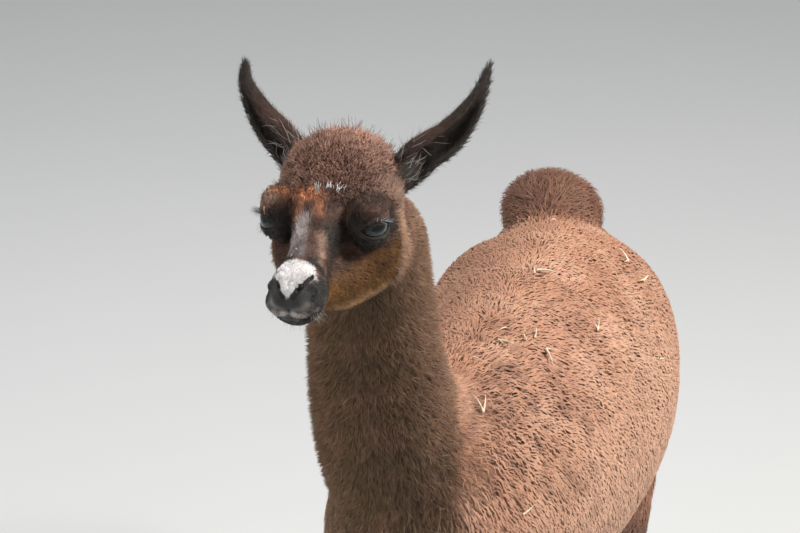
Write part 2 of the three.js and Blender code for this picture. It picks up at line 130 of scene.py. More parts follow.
def facing_out(verts: Array, tris: Array) -> Array:
    """Turns a closed mesh's triangles to face outwards."""
    x, y, z = (verts[tris[:, k]] - verts.mean(0) for k in range(3))
    return tris if (x * np.cross(y, z)).sum() > 0 else tris[:, ::-1]


def merge(a: Array, b: Array, blend: float) -> Array:
    """Joins two distance fields with a fillet of about the blend's width."""
    h = np.clip(0.5 + 0.5 * (b - a) / blend, 0.0, 1.0)
    return b * (1 - h) + a * h - blend * h * (1 - h)


def carve(a: Array, b: Array, blend: float) -> Array:
    """Takes solid b out of solid a, with a rounded rim."""
    return -merge(-a, b, blend)


def catmull(stations: Array, steps: int) -> Array:
    """Runs a smooth curve through the stations.

    Args:
        stations: one row per station.
        steps: points made between two stations.

    Returns:
        The rows of the finer curve, ends included.
    """
    ends = np.vstack([2 * stations[0] - stations[1], stations, 2 * stations[-1] - stations[-2]])
    t = (np.arange(steps) / steps)[None, :, None]
    a, b, c, d = (ends[i:len(ends) - 3 + i, None, :] for i in range(4))
    curve = 0.5 * (2 * b + (c - a) * t + (2 * a - 5 * b + 4 * c - d) * t**2 + (3 * b - a - 3 * c + d) * t**3)
    return np.vstack([curve.reshape(-1, stations.shape[1]), stations[-1:]])


def sweep(p: Array, stations: Array, egg: float = 0.0, steps: int = 4, far: float = FAR) -> Array:
    """Measures the distance to a tube through stations.

    Args:
        p: points, one per row.
        stations: rows of x, y, z, half width across X, radius in the YZ plane.
        egg: how much narrower the top of the section is than its bottom.
        steps: straight lengths between two stations.
        far: what is returned for points well away from the tube.

    Returns:
        One distance for each point.
    """
    s = catmull(stations, steps)
    reach = s[:, 3:5].max() + far
    near = ((p > s[:, :3].min(0) - reach) & (p < s[:, :3].max(0) + reach)).all(1)
    out = np.full(len(p), far)
    if not near.any():
        return out
    points = p[near]
    best = np.full(len(points), 1e3)
    for a, b in zip(s[:-1], s[1:]):
        along = b[:3] - a[:3]
        h = np.clip(((points - a[:3]) @ along) / (along @ along), 0.0, 1.0)
        half_width = a[3] + h * (b[3] - a[3])
        radius = a[4] + h * (b[4] - a[4])
        d = points - (a[:3] + h[:, None] * along)
        flat = radius / half_width
        if egg:
            flat = flat * (1 + egg * np.clip(d[:, 2] / radius, -1, 1))
        distance = np.sqrt((d[:, 0] * flat) ** 2 + d[:, 1] ** 2 + d[:, 2] ** 2) - radius
        best = np.minimum(best, distance)
    out[near] = best
    return out


def ellipsoid(p: Array, centre: Point, radii: Point) -> Array:
    """Measures about the distance to an ellipsoid.

    Args:
        p: points.
        centre: its middle.
        radii: along x, y and z.

    Returns:
        One distance for each point.
    """
    q = p - np.array(centre)
    k0 = norms(q / np.array(radii))
    k1 = norms(q / np.array(radii) ** 2)
    return k0 * (k0 - 1.0) / np.maximum(k1, 1e-9)


def bone(p: Array, start: Point, end: Point, r_start: float, r_end: float, widen: float = 1.0) -> Array:
    """Measures the distance to a tapered capsule.

    Args:
        p: points.
        start: the middle of its first end.
        end: the middle of its other end.
        r_start: its radius at the first end.
        r_end: its radius at the other end.
        widen: how many times wider it is along the second axis.

    Returns:
        One distance for each point.
    """
    a, b = np.array(start), np.array(end)
    along = b - a
    h = np.clip(((p - a) @ along) / (along @ along), 0.0, 1.0)
    d = (p - (a + h[:, None] * along)) / np.array([1.0, widen, 1.0])
    return norms(d) - (r_start + h * (r_end - r_start))


def surface_nets(value: Array, axes: Sequence[Array]) -> tuple[Array, Array]:
    """Meshes the surface where a gridded value crosses zero.

    Args:
        value: the field on the grid, negative inside.
        axes: the grid's coordinates along x, y and z.

    Returns:
        Vertices, and quads that face outwards.
    """
    inside = value < 0
    shape = np.array(value.shape) - 1
    corners = [(i, j, k) for i in (0, 1) for j in (0, 1) for k in (0, 1)]
    count = np.zeros(shape, np.int32)
    for i, j, k in corners:
        count += inside[i:shape[0] + i, j:shape[1] + j, k:shape[2] + k]
    mixed = (count > 0) & (count < 8)
    cells = np.argwhere(mixed)
    index = np.full(mixed.shape, -1, np.int64)
    index[mixed] = np.arange(len(cells))
    total = np.zeros((len(cells), 3))
    crossings = np.zeros(len(cells))
    edges = [(a, b) for a in corners for b in corners
             if sum(b) - sum(a) == 1 and all(y >= x for x, y in zip(a, b))]
    for a, b in edges:
        va = value[tuple((cells + a).T)]
        vb = value[tuple((cells + b).T)]
        cross = (va < 0) != (vb < 0)
        t = np.where(cross, va / np.where(cross, va - vb, 1.0), 0.0)
        for axis in range(3):
            ca = axes[axis][cells[:, axis] + a[axis]]
            cb = axes[axis][cells[:, axis] + b[axis]]
            total[:, axis] += np.where(cross, ca + t * (cb - ca), 0.0)
        crossings += cross
    quads = []
    for axis in range(3):
        low, high = [slice(None)] * 3, [slice(None)] * 3
        low[axis], high[axis] = slice(0, -1), slice(1, None)
        first = inside[tuple(low)]
        cross = np.argwhere(first != inside[tuple(high)])
        u, v = [other for other in range(3) if other != axis]
        for other in (u, v):
            cross = cross[(cross[:, other] > 0) & (cross[:, other] < value.shape[other] - 1)]
        ring = []
        for du, dv in ((-1, -1), (0, -1), (0, 0), (-1, 0)):
            c = cross.copy()
            c[:, u] += du
            c[:, v] += dv
            ring.append(index[tuple(c.T)])
        quad = np.stack(ring, 1)
        outward = first[tuple(cross.T)]
        flip = outward if axis == 1 else ~outward
        quad[flip] = quad[flip][:, ::-1]
        quads.append(quad)
    return total / crossings[:, None], np.concatenate(quads)


def polygonise(f: Field, low: Point, high: Point, cell: float, coarse: int = 4) -> tuple[Array, Array]:
    """Meshes a field in a box, looking closely only near its surface.

    Args:
        f: the field, negative inside.
        low: the box's lowest corner.
        high: the box's highest corner.
        cell: the grid's step.
        coarse: how many steps the first, rough pass takes at once.

    Returns:
        Vertices and quads.
    """
    start = np.array(low, float)
    big = cell * coarse
    n = np.ceil((np.array(high) - start) / big).astype(int)
    middles = [start[i] + big * (np.arange(n[i]) + 0.5) for i in range(3)]
    rough = f(np.stack(np.meshgrid(*middles, indexing="ij"), -1).reshape(-1, 3)).reshape(n)
    near = np.abs(rough) < big * 1.45
    axes = [start[i] + cell * np.arange(n[i] * coarse + 1) for i in range(3)]
    block = np.ix_(*[np.minimum(np.arange(len(axes[i])) // coarse, n[i] - 1) for i in range(3)])
    value = np.sign(rough)[block]
    mark = near[block].copy()
    for i in range(3):
        edge = np.arange(coarse, len(axes[i]) - 1, coarse)
        here, before = [slice(None)] * 3, [slice(None)] * 3
        here[i], before[i] = edge, edge - 1
        mark[tuple(here)] |= mark[tuple(before)]
    at = np.argwhere(mark)
    value[mark] = f(np.stack([axes[i][at[:, i]] for i in range(3)], 1))
    return surface_nets(value, axes)


def gradient(f: Field, p: Array, step: float = 0.0006) -> Array:
    """Finds which way the field grows.

    Args:
        f: the field.
        p: points.
        step: how far to each side it is sampled.

    Returns:
        One slope for each point.
    """
    columns = []
    for axis in np.eye(3) * step:
        columns.append((f(p + axis) - f(p - axis)) / (2 * step))
    return np.stack(columns, 1)


def project(f: Field, verts: Array, rounds: int, most: float) -> Array:
    """Moves points onto the field's surface.

    Args:
        f: the field.
        verts: points near its surface.
        rounds: how often they are moved.
        most: the longest move in one round.

    Returns:
        The moved points.
    """
    for _ in range(rounds):
        g = gradient(f, verts)
        move = g * (f(verts) / np.maximum((g * g).sum(1), 0.05))[:, None]
        size = np.linalg.norm(move, axis=1, keepdims=True)
        verts = verts - move * np.minimum(1.0, most / np.maximum(size, 1e-9))
    return verts


def edges_of(tris: Array) -> tuple[Array, Array]:
    """Lists a mesh's edges.

    Args:
        tris: triangles.

    Returns:
        Each edge once, and the three edges of each triangle.
    """
    raw = np.sort(tris[:, [0, 1, 1, 2, 2, 0]].reshape(-1, 2), axis=1)
    key = raw[:, 0].astype(np.int64) * (raw.max() + 1) + raw[:, 1]
    _, first, back = np.unique(key, return_index=True, return_inverse=True)
    return raw[first], back.reshape(-1, 3)


def split_long(verts: Array, tris: Array, target: Field) -> tuple[Array, Array]:
    """Halves each edge that is longer than its target length.

    Args:
        verts: vertices.
        tris: triangles.
        target: the longest edge allowed at a point.

    Returns:
        The finer vertices and triangles, still closed.
    """
    edges, of_tri = edges_of(tris)
    ends = verts[edges]
    middle = ends.mean(1)
    long = norms(ends[:, 0] - ends[:, 1]) > 1.35 * target(middle)
    new = np.full(len(edges), -1, np.int64)
    new[long] = len(verts) + np.arange(long.sum())
    m = new[of_tri]
    cut = m >= 0
    out = [tris[~cut.any(1)]]
    full = cut.all(1)
    a, b, c = tris[full].T
    ab, bc, ca = m[full].T
    out += [np.stack(t, 1) for t in ((a, ab, ca), (ab, b, bc), (ca, bc, c), (ab, bc, ca))]
    for turn in range(3):
        t, e, k = (np.roll(x, -turn, axis=1) for x in (tris, m, cut))
        one = k[:, 0] & ~k[:, 1] & ~k[:, 2]
        a, b, c = t[one].T
        ab = e[one, 0]
        out += [np.stack(x, 1) for x in ((a, ab, c), (ab, b, c))]
        two = k[:, 0] & k[:, 1] & ~k[:, 2]
        a, b, c = t[two].T
        ab, bc = e[two, 0], e[two, 1]
        out += [np.stack(x, 1) for x in ((ab, b, bc), (a, ab, bc), (a, bc, c))]
    return np.vstack([verts, middle[long]]), np.concatenate(out)


def vertex_normals(verts: Array, tris: Array) -> Array:
    """Averages the faces' directions at each vertex.

    Args:
        verts: vertices.
        tris: triangles.

    Returns:
        One direction of length one for each vertex.
    """
    a, b, c = (verts[tris[:, i]] for i in range(3))
    face = np.cross(b - a, c - a)
    total = np.zeros_like(verts)
    for i in range(3):
        for axis in range(3):
            total[:, axis] += np.bincount(tris[:, i], face[:, axis], len(verts))
    return unit(total)


def relax(verts: Array, tris: Array, rounds: int, share: float, moving: Array | None = None,
          flat: bool = True) -> Array:
    """Evens out the triangles by sliding vertices towards their neighbours' middle.

    Args:
        verts: vertices.
        tris: triangles.
        rounds: how often it is done.
        share: how far each vertex goes, from 0 to 1.
        moving: a weight for each vertex, or all of them fully.
        flat: whether vertices only slide along the surface.

    Returns:
        The moved vertices.
    """
    edges, _ = edges_of(tris)
    ends = np.concatenate([edges, edges[:, ::-1]])
    degree = np.bincount(ends[:, 0], minlength=len(verts))[:, None]
    weight = share if moving is None else share * moving[:, None]
    for _ in range(rounds):
        total = np.stack([np.bincount(ends[:, 0], verts[ends[:, 1], axis], len(verts))
                          for axis in range(3)], 1)
        move = total / np.maximum(degree, 1) - verts
        if flat:
            normal = vertex_normals(verts, tris)
            move -= normal * (move * normal).sum(1, keepdims=True)
        verts = verts + move * weight
    return verts


def ripple(p: Array, size: float, seed: float = 0.0) -> Array:
    """Makes a smooth wandering value.

    Args:
        p: points.
        size: about how far apart its swells are.
        seed: shifts the swells.

    Returns:
        One value for each point, about -1 to 1.
    """
    q = p * (2 * math.pi / size)
    x, y, z = q.T
    a = np.sin(x + 1.7 * np.sin(0.61 * y + seed) + seed)
    b = np.sin(y * 1.13 + 1.5 * np.sin(0.73 * z + 2.1 * seed) + 1.3)
    c = np.sin(z * 0.91 + 1.6 * np.sin(0.67 * x - seed) + 2.6 * seed)
    return (a + b + c) / 2.2


# ---- the animal's form


@dataclass(frozen=True)
class HeadFrame:
    """The head's own axes: forward to the nose, left, and up."""

    centre: Point = (-0.03, -0.44, 1.105)
    yaw: float = math.radians(-2.5)
    pitch: float = math.radians(-5.0)
    roll: float = math.radians(3.0)

    def axes(self) -> Array:
        """Gives the head's axes.

        Returns:
            Forward, left and up, as rows.
        """
        cy, sy = math.cos(self.yaw), math.sin(self.yaw)
        cp, sp = math.cos(self.pitch), math.sin(self.pitch)
        forward = np.array([-sy * cp, -cy * cp, -sp])
        left = np.array([cy, -sy, 0.0])
        up = np.cross(forward, left)
        if up[2] < 0:
            up = -up
        cr, sr = math.cos(self.roll), math.sin(self.roll)
        return np.array([forward, left * cr + up * sr, up * cr - left * sr])

    def local(self, p: Array) -> Array:
        """Turns the model's points into the head's."""
        return (p - np.array(self.centre)) @ self.axes().T

    def world(self, q: Array) -> Array:
        """Turns the head's points into the model's."""
        return np.array(self.centre) + np.asarray(q) @ self.axes()


HEAD = HeadFrame()


class Part(Enum):
    """The parts of the body that the coat is laid by."""

    TRUNK = 0
    NECK = 1
    HEAD = 2
    TAIL = 3
    FORE_LEFT = 4
    FORE_RIGHT = 5
    HIND_LEFT = 6
    HIND_RIGHT = 7
    EAR_LEFT = 8
    EAR_RIGHT = 9


LEGS = (Part.FORE_LEFT, Part.FORE_RIGHT, Part.HIND_LEFT, Part.HIND_RIGHT)
EARS = {1: Part.EAR_LEFT, -1: Part.EAR_RIGHT}


@dataclass(frozen=True)
class EyeForm:
    """Where the eyeballs sit in the head, and how the lids open, in the head's frame."""

    centre: Point = (0.001, 0.0505, 0.007)
    radius: float = 0.0175
    gaze: Point = (0.66, 0.75, 0.04)
    half_width: float = 1.06
    upper: float = 0.42
    lower: float = 0.44
    tilt: float = 0.1
    lid: float = 0.0026

    def middle(self, side: int) -> Array:
        """Gives one eyeball's centre."""
        return np.array(self.centre) * np.array([1, side, 1])

    def basis(self, side: int) -> Array:
        """Gives one eye's own axes.

        Args:
            side: 1 for left, -1 for right.

        Returns:
            The gaze, the way to the inner corner, and up, as rows.
        """
        gaze = unit(np.array(self.gaze) * np.array([1, side, 1]))
        inner = unit(np.cross(gaze, np.array([0.08, 0.0, 1.0])) * -side)
        if inner[0] < 0:
            inner = -inner
        up = np.cross(gaze, inner) * -side
        if up[2] < 0:
            up = -up
        turned = inner * math.cos(self.tilt) + up * math.sin(self.tilt)
        return np.array([gaze, turned, up * math.cos(self.tilt) - inner * math.sin(self.tilt)])

    def lid_line(self, across: Array, upper: bool) -> Array:
        """Gives the line of a lid's edge.

        Args:
            across: places across the eye, from -1 to 1.
            upper: whether it is the upper lid.

        Returns:
            The edge's height at each place, in radians.
        """
        bow = np.sqrt(np.clip(1 - across**2, 0, 1))
        rise = self.upper if upper else -self.lower
        lean = 0.06 * across if upper else 0.1 * across * bow
        return rise * bow**1.15 - lean - 0.06


EYE = EyeForm()


@dataclass
class LlamaForm:
    """The outline to the tips of the coat, as one smooth field, and the depth of the coat inside it."""

    trunk: Array = field(default_factory=lambda: millimetres([
        [4, -195, 610, 98, 124], [10, -120, 626, 134, 170], [24, 0, 634, 160, 188],
        [28, 120, 644, 168, 186], [19, 220, 654, 163, 171], [4, 290, 656, 134, 145]]))
    neck: Array = field(default_factory=lambda: millimetres([
        [-6, -130, 660, 104, 136], [-18, -232, 740, 92, 108], [-22, -292, 835, 81, 90],
        [-20, -325, 935, 73, 80], [-20, -347, 1040, 69, 75]]))
    tail: Array = field(default_factory=lambda: millimetres([
        [-30, 335, 755, 50, 40], [-38, 385, 778, 72, 53], [-44, 430, 758, 74, 53],
        [-46, 458, 690, 58, 48], [-46, 463, 620, 34, 32]]))
    fore_leg: Array = field(default_factory=lambda: millimetres([
        [70, -170, 600, 56, 85], [78, -165, 500, 50, 66], [80, -175, 400, 40, 46],
        [80, -185, 300, 31, 34], [80, -183, 200, 22, 26], [80, -180, 110, 21, 24],
        [80, -183, 80, 23, 25]]))
    hind_leg: Array = field(default_factory=lambda: millimetres([
        [80, 255, 640, 75, 125], [95, 235, 530, 62, 95], [98, 270, 430, 45, 60],
        [95, 322, 330, 30, 36], [92, 325, 220, 22, 27], [90, 312, 110, 21, 25],
        [90, 308, 80, 23, 26]]))
    toe: Array = field(default_factory=lambda: millimetres([
        [8, 2, 75, 20, 21], [12, -22, 28, 19, 21], [15, -50, 14, 16.5, 16.5]]))
    ears: dict = field(default_factory=lambda: {
        1: millimetres([[-72, 40, 24, 22], [-84, 60, 38, 22.5], [-95, 79, 56, 21.5], [-110, 100, 70, 19.5],
                        [-122, 118, 91, 15], [-134, 130, 114, 9.5], [-149, 136, 139, 4.5]]),
        -1: millimetres([[-72, -40, 26, 23], [-84, -60, 43, 24], [-95, -79, 60, 23.5], [-110, -100, 72, 21.5],
                         [-121, -117, 89, 17], [-132, -130, 108, 11.5], [-145, -135, 127, 5.5]])})
    egg: float = 0.14
    foot_reach: float = 0.16
    foot_top: float = 0.2
    neck_blend: float = 0.055
    fore_blend: float = 0.04
    hind_blend: float = 0.045
    tail_blend: float = 0.03
    head_blend: float = 0.018
    head_reach: float = 0.3
    head_far: float = 0.15
    trunk_depth: float = 0.0055
    neck_depth: float = 0.0105
    tail_depth: float = 0.018
    ear_depth: float = 0.003
    depth_blend: float = 0.018
    eye_reach: float = 0.024
    ear_wrap: float = 118.0
    ear_wall: float = 0.0065
    ear_opening: Point = (0.72, 0.68, -0.1)

    def leg(self, part: Part) -> Array:
        """Gives one leg's tube.

        Args:
            part: the leg.

        Returns:
            Its stations, from the body down.
        """
        rows = (self.fore_leg if part in (Part.FORE_LEFT, Part.FORE_RIGHT) else self.hind_leg).copy()
        rows[:, 0] *= 1 if part in (Part.FORE_LEFT, Part.HIND_LEFT) else -1
        return rows

    def toes(self, p: Array, part: Part) -> Array:
        """Measures the distance to one foot's two toes.

        Args:
            p: points.
            part: the leg that the foot is on.

        Returns:
            One distance for each point.
        """
        ankle = self.leg(part)[-1]
        near = (np.abs(p[:, :2] - ankle[:2]) < self.foot_reach).all(1) & (p[:, 2] < self.foot_top)
        out = np.full(len(p), FAR)
        if near.any():
            halves = []
            for out_way in SIDES:
                rows = self.toe.copy()
                rows[:, 0] = ankle[0] + rows[:, 0] * out_way
                rows[:, 1] += ankle[1]
                halves.append(sweep(p[near], rows, steps=3))
            out[near] = merge(halves[0], halves[1], 0.008)
        return out

    def distances(self, p: Array) -> Array:
        """Measures the distance to each part but the ears.

        Args:
            p: points.

        Returns:
            One column for each part, in the order of Part.
        """
        columns = [sweep(p, self.trunk, self.egg), sweep(p, self.neck), self.near_head(p, self.head),
                   sweep(p, self.tail)]
        for part in LEGS:
            columns.append(merge(sweep(p, self.leg(part), steps=2), self.toes(p, part), 0.009))
        return np.stack(columns, 1)

    def near_head(self, p: Array, measure: Field) -> Array:
        """Measures the distance to the head where it is near, and says far elsewhere.

        Args:
            p: points in the form's frame.
            measure: the head's field, in its own frame.

        Returns:
            One distance for each point.
        """
        q = HEAD.local(p)
        out = np.full(len(p), self.head_far)
        near = norms(q) < self.head_reach
        if near.any():
            out[near] = measure(q[near])
        return out

    def head(self, q: Array) -> Array:
        """Measures the distance to the furred head.

        Args:
            q: points in the head's frame.

        Returns:
            One distance for each point.
        """
        m = folded(q)
        f = ellipsoid(q, (-0.062, 0, 0.022), (0.066, 0.064, 0.062))
        f = merge(f, bone(q, (-0.04, 0, 0.03), (0.032, 0, -0.01), 0.048, 0.026), 0.022)
        f = merge(f, bone(q, (0.02, 0, -0.01), (0.09, 0, -0.034), 0.026, 0.023), 0.01)
        f = merge(f, bone(q, (0.084, 0, -0.037), (0.096, 0, -0.044), 0.0245, 0.0225, 1.18), 0.01)
        f = merge(f, bone(q, (-0.04, 0, -0.036), (0.084, 0, -0.054), 0.04, 0.019), 0.02)
        f = merge(f, ellipsoid(m, (-0.044, 0.033, -0.032), (0.05, 0.039, 0.05)), 0.016)
        f = merge(f, ellipsoid(m, (-0.006, 0.019, -0.053), (0.052, 0.031, 0.034)), 0.024)
        f = merge(f, ellipsoid(m, (-0.006, 0.046, 0.006), (0.028, 0.021, 0.024)), 0.012)
        f = merge(f, ellipsoid(m, (-0.006, 0.049, 0.027), (0.028, 0.02, 0.012)), 0.012)
        f = carve(f, bone(m, (0.022, 0.057, 0.002), (-0.006, 0.073, 0.009), 0.01, 0.01), 0.006)
        return carve(f, ellipsoid(m, (0.05, 0.042, -0.016), (0.03, 0.013, 0.014)), 0.018)

    def join(self, d: Array) -> Array:
        """Blends the parts' distances into one field without the head.

        Args:
            d: the parts' distances.

        Returns:
            One distance for each point.
        """
        f = merge(d[:, 0], d[:, 1], self.neck_blend)
        for leg in LEGS:
            f = merge(f, d[:, leg.value], self.fore_blend if leg.value < 6 else self.hind_blend)
        return merge(f, d[:, 3], self.tail_blend)

    def leg_depth(self, z: Array) -> Array:
        """Gives the coat's depth down a leg."""
        return 0.0016 + 0.0014 * ease(0.06, 0.16, z) + 0.0104 * ease(0.36, 0.56, z)

    def head_depth(self, q: Array) -> Array:
        """Gives the coat's depth over the head: least at the lips, most on crown and cheeks.

        Args:
            q: points in the head's frame.

        Returns:
            One depth for each point.
        """
        back = ease(0.075, 0.0, q[:, 0])
        crown = ease(0.03, 0.07, q[:, 2]) * ease(0.03, -0.01, q[:, 0])
        cheek = ease(0.0, -0.045, q[:, 2]) * ease(0.045, -0.01, q[:, 0])
        eye = np.exp(-(norms(folded(q) - EYE.centre) / self.eye_reach) ** 4)
        return (0.001 + 0.0022 * back + 0.0045 * crown + 0.003 * cheek) * (1 - 0.6 * eye)

    def depth(self, p: Array, d: Array) -> Array:
        """Gives the coat's depth over the body, without the head.

        Args:
            p: points.
            d: the parts' distances there.

        Returns:
            One depth for each point.
        """
        weight = nearness(d[:, BODY_COLUMNS], self.depth_blend)
        leg = self.leg_depth(p[:, 2])
        each = np.stack([np.full(len(p), self.trunk_depth),
                         self.neck_depth * ease(1.12, 0.98, p[:, 2]) + 0.005,
                         np.full(len(p), self.tail_depth), leg, leg, leg, leg], 1)
        return (weight * each).sum(1) / weight.sum(1)

    def lids(self, f: Array, m: Array) -> Array:
        """Raises the lids round an eye, folds them, and cuts the opening.

        Args:
            f: the head's distances.
            m: the same points, folded onto the left half.

        Returns:
            The distances with the lids.
        """
        gaze, inner, up = EYE.basis(1)
        rel = m - np.array(EYE.centre)
        r = norms(rel)
        f = merge(f, r - (EYE.radius + EYE.lid), 0.007)
        direction = rel / np.maximum(r, 1e-9)[:, None]
        across = np.arctan2(direction @ inner, direction @ gaze) / EYE.half_width
        height = np.arcsin(np.clip(direction @ up, -1, 1))
        upper, lower = (EYE.lid_line(np.clip(across, -1, 1), top) for top in (True, False))
        side_room = (1 - np.abs(across)) * EYE.half_width
        gap = np.minimum(np.minimum(upper - height, height - lower), side_room) * EYE.radius
        gap = np.where(direction @ gaze > 0, gap, -0.02)
        opening = np.maximum(-gap, (EYE.radius - 0.004) - r)
        for edge, rise, out, end, half, blend in ((upper, 0.24, 0.0045, 0.95, 0.0011, 0.0022),
                                                  (lower, -0.3, 0.0042, 0.9, 0.001, 0.0024)):
            fold = np.abs(height - edge - rise) * EYE.radius
            fold = np.maximum(np.sqrt(fold**2 + (r - EYE.radius - out) ** 2), (np.abs(across) - end) * 0.02)
            f = carve(f, fold - half, blend)
        return carve(f, opening, 0.0012)

    def face(self, q: Array) -> Array:
        """Measures the distance to the bare head, with its lids, nostrils and lips.

        Args:
            q: points in the head's frame.

        Returns:
            One distance for each point.
        """
        m = folded(q)
        f = self.lids(self.head(q) + self.head_depth(q), m)
        f = carve(f, bone(m, (0.03, 0.0315, -0.003), (0.02, 0.04, 0.0), 0.0016, 0.0022), 0.003)
        f = merge(f, bone(m, (0.1, 0.0125, -0.0165), (0.115, 0.003, -0.029), 0.005, 0.004), 0.006)
        f = merge(f, bone(m, (0.101, 0.0212, -0.0305), (0.113, 0.012, -0.041), 0.0042, 0.0038), 0.006)
        f = merge(f, bone(m, (0.106, 0.009, -0.049), (0.098, 0.02, -0.0485), 0.009, 0.0085), 0.008)
        f = carve(f, bone(m, (0.12, 0.0, -0.037), (0.1185, 0.0, -0.057), 0.0014, 0.002), 0.005)
        f = carve(f, self.nostril(m), 0.0022)
        return carve(f, self.mouth(m), 0.0028)

    def nostril(self, m: Array) -> Array:
        """Measures the distance to a nostril's curved slit, on folded points."""
        line = ((0.1005, 0.019, -0.0195), (0.112, 0.0118, -0.0252), (0.119, 0.005, -0.0355))
        return slit(m, line, (0.0011, 0.0021, 0.0015), (-0.85, -0.15, -0.1), 0.0075)

    def mouth(self, m: Array) -> Array:
        """Measures the distance to the line between the lips.

        Args:
            m: points in the head's frame, folded onto its left half.

        Returns:
            One distance for each point.
        """
        line = ((0.12, 0.0, -0.0585), (0.112, 0.015, -0.06), (0.096, 0.0285, -0.055),
                (0.076, 0.032, -0.0465))
        return slit(m, line, (0.0015, 0.0017, 0.0016, 0.0008), (-0.6, -0.6, 0.0), 0.004)

    def skin(self, p: Array) -> Array:
        """Measures the distance to the skin, without the ears.

        Args:
            p: points.

        Returns:
            One distance for each point.
        """
        d = self.distances(p)
        body = self.join(d) + self.depth(p, d)
        return np.maximum(merge(body, self.near_head(p, self.face), self.head_blend), -p[:, 2])

    def ear_rings(self, side: int, inset: float, steps: int, points: int) -> Array:
        """Makes the rings of one cupped ear, in the head's frame.

        Args:
            side: 1 for left, -1 for right.
            inset: how far the rings lie inside the coat's outline.
            steps: rings between two stations.
            points: points on each of a ring's two faces.

        Returns:
            Rings, their points, and x, y, z.
        """
        s = catmull(self.ears[side], steps)
        middle = s[:, :3]
        tangent = unit(np.gradient(middle, axis=0))
        opening = np.array(self.ear_opening) * np.array([1, side, 1])
        rings = []
        wrap = np.radians(np.linspace(-self.ear_wrap, self.ear_wrap, points))
        for i, (c, t, r) in enumerate(zip(middle, tangent, s[:, 3])):
            along = i / (len(middle) - 1)
            face = unit(opening - t * (opening @ t))
            across = np.cross(t, face)
            wide = max(r - inset, 0.0015)
            deep = wide * 0.78
            wall = min(max(self.ear_wall - inset, 0.0022), wide * 0.7)
            hollow = min(1.0, max(0.0, (along - 0.1) / 0.22)) * min(1.0, max(0.0, (0.93 - along) / 0.25))
            hollow = hollow * hollow * (3 - 2 * hollow)
            back = wrap[::-1]
            outer = np.stack([wide * np.sin(wrap), -deep * np.cos(wrap)], 1)
            cupped = np.stack([(wide - wall) * np.sin(back) * 0.98, -(deep - wall) * np.cos(back)], 1)
            filled = np.stack([(wide - wall) * np.sin(back) * 0.98, deep * (0.52 + 0.35 * np.cos(back))], 1)
            ring = np.vstack([outer, cupped * hollow + filled * (1 - hollow)])
            rings.append(c + ring[:, :1] * across + ring[:, 1:] * face)
        return np.array(rings)


FORM = LlamaForm()


def row_shift() -> Array:
    """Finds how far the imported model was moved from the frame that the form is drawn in.

    Returns:
        The move, as x, y and z.
    """
    low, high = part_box("eye_left")
    packed = (np.array(low) + np.array(high)) / 2
    return packed - HEAD.world(EYE.middle(1))


SHIFT = row_shift()


# ---- markings


@dataclass(frozen=True)
class Mark:
    """A marking: a soft-edged capsule of colour on the head, in the head's frame, in millimetres."""

    name: str
    colour: Colour
    start: Point
    end: Point
    radius: float
    soft: float
    both_sides: bool = True
    strength: float = 1.0
    end_radius: float | None = None

    def cover(self, q: Array) -> Array:
        """Gives how much of the marking shows.

        Args:
            q: points in the head's frame.

        Returns:
            A share for each point, from 0 to 1.
        """
        q = folded(q) if self.both_sides else q
        last = self.radius if self.end_radius is None else self.end_radius
        start, end = np.array(self.start) * MM, np.array(self.end) * MM
        soft = self.soft * MM
        distance = bone(q, start, end, self.radius * MM, last * MM) + soft * 0.35 * ripple(q, 0.011, 1.0)
        return self.strength * ease(soft, -soft, distance)


RUST_WOOL = (0.425, 0.212, 0.131)
# pale rust: the wool's paler patches, and also painted light on the trunk's sunlit right side and lower flank
PALE_RUST = (0.66, 0.4, 0.275)
DARK_RUST = (0.3, 0.14, 0.082)
NECK_BROWN = (0.15, 0.088, 0.047)
# red-brown of the neck's patches, also painted light on the neck's sunlit right side
NECK_RED = (0.23, 0.117, 0.075)
TAIL_BROWN = (0.175, 0.08, 0.05)
SHANK_BROWN = (0.11, 0.052, 0.033)
FOOT_DARK = (0.045, 0.028, 0.022)
FACE_BROWN = (0.074, 0.04, 0.028)
CROWN_BROWN = (0.235, 0.122, 0.088)
MASK_BLACK = (0.022, 0.017, 0.014)
CHEEK_TAN = (0.135, 0.06, 0.017)
CHEEK_DARK = (0.075, 0.036, 0.016)
EDGE_TAN = (0.33, 0.185, 0.1)
JAW_GOLD = (0.48, 0.28, 0.12)
PATCH_RUST = (0.66, 0.255, 0.13)
# painted sheen on the bridge of the nose
BRIDGE_SHEEN = (0.37, 0.3, 0.285)
STREAK_TAN = (0.37, 0.235, 0.17)
NOSE_WHITE = (0.64, 0.6, 0.585)
LIP_BLACK = (0.03, 0.027, 0.025)
# grey hair round the lips, with the lips' painted sheen and a painted highlight along the rim
LIP_GREY_AND_SHEEN = (0.34, 0.3, 0.27)
# tan hair of the brows, with a painted highlight along the brow ridge
BROW_TAN_AND_HIGHLIGHT = (0.31, 0.185, 0.13)
EAR_BLACK = (0.038, 0.031, 0.026)
# red-brown along the ears' upper edges, partly painted light where they are lit
EAR_RED = (0.085, 0.043, 0.032)

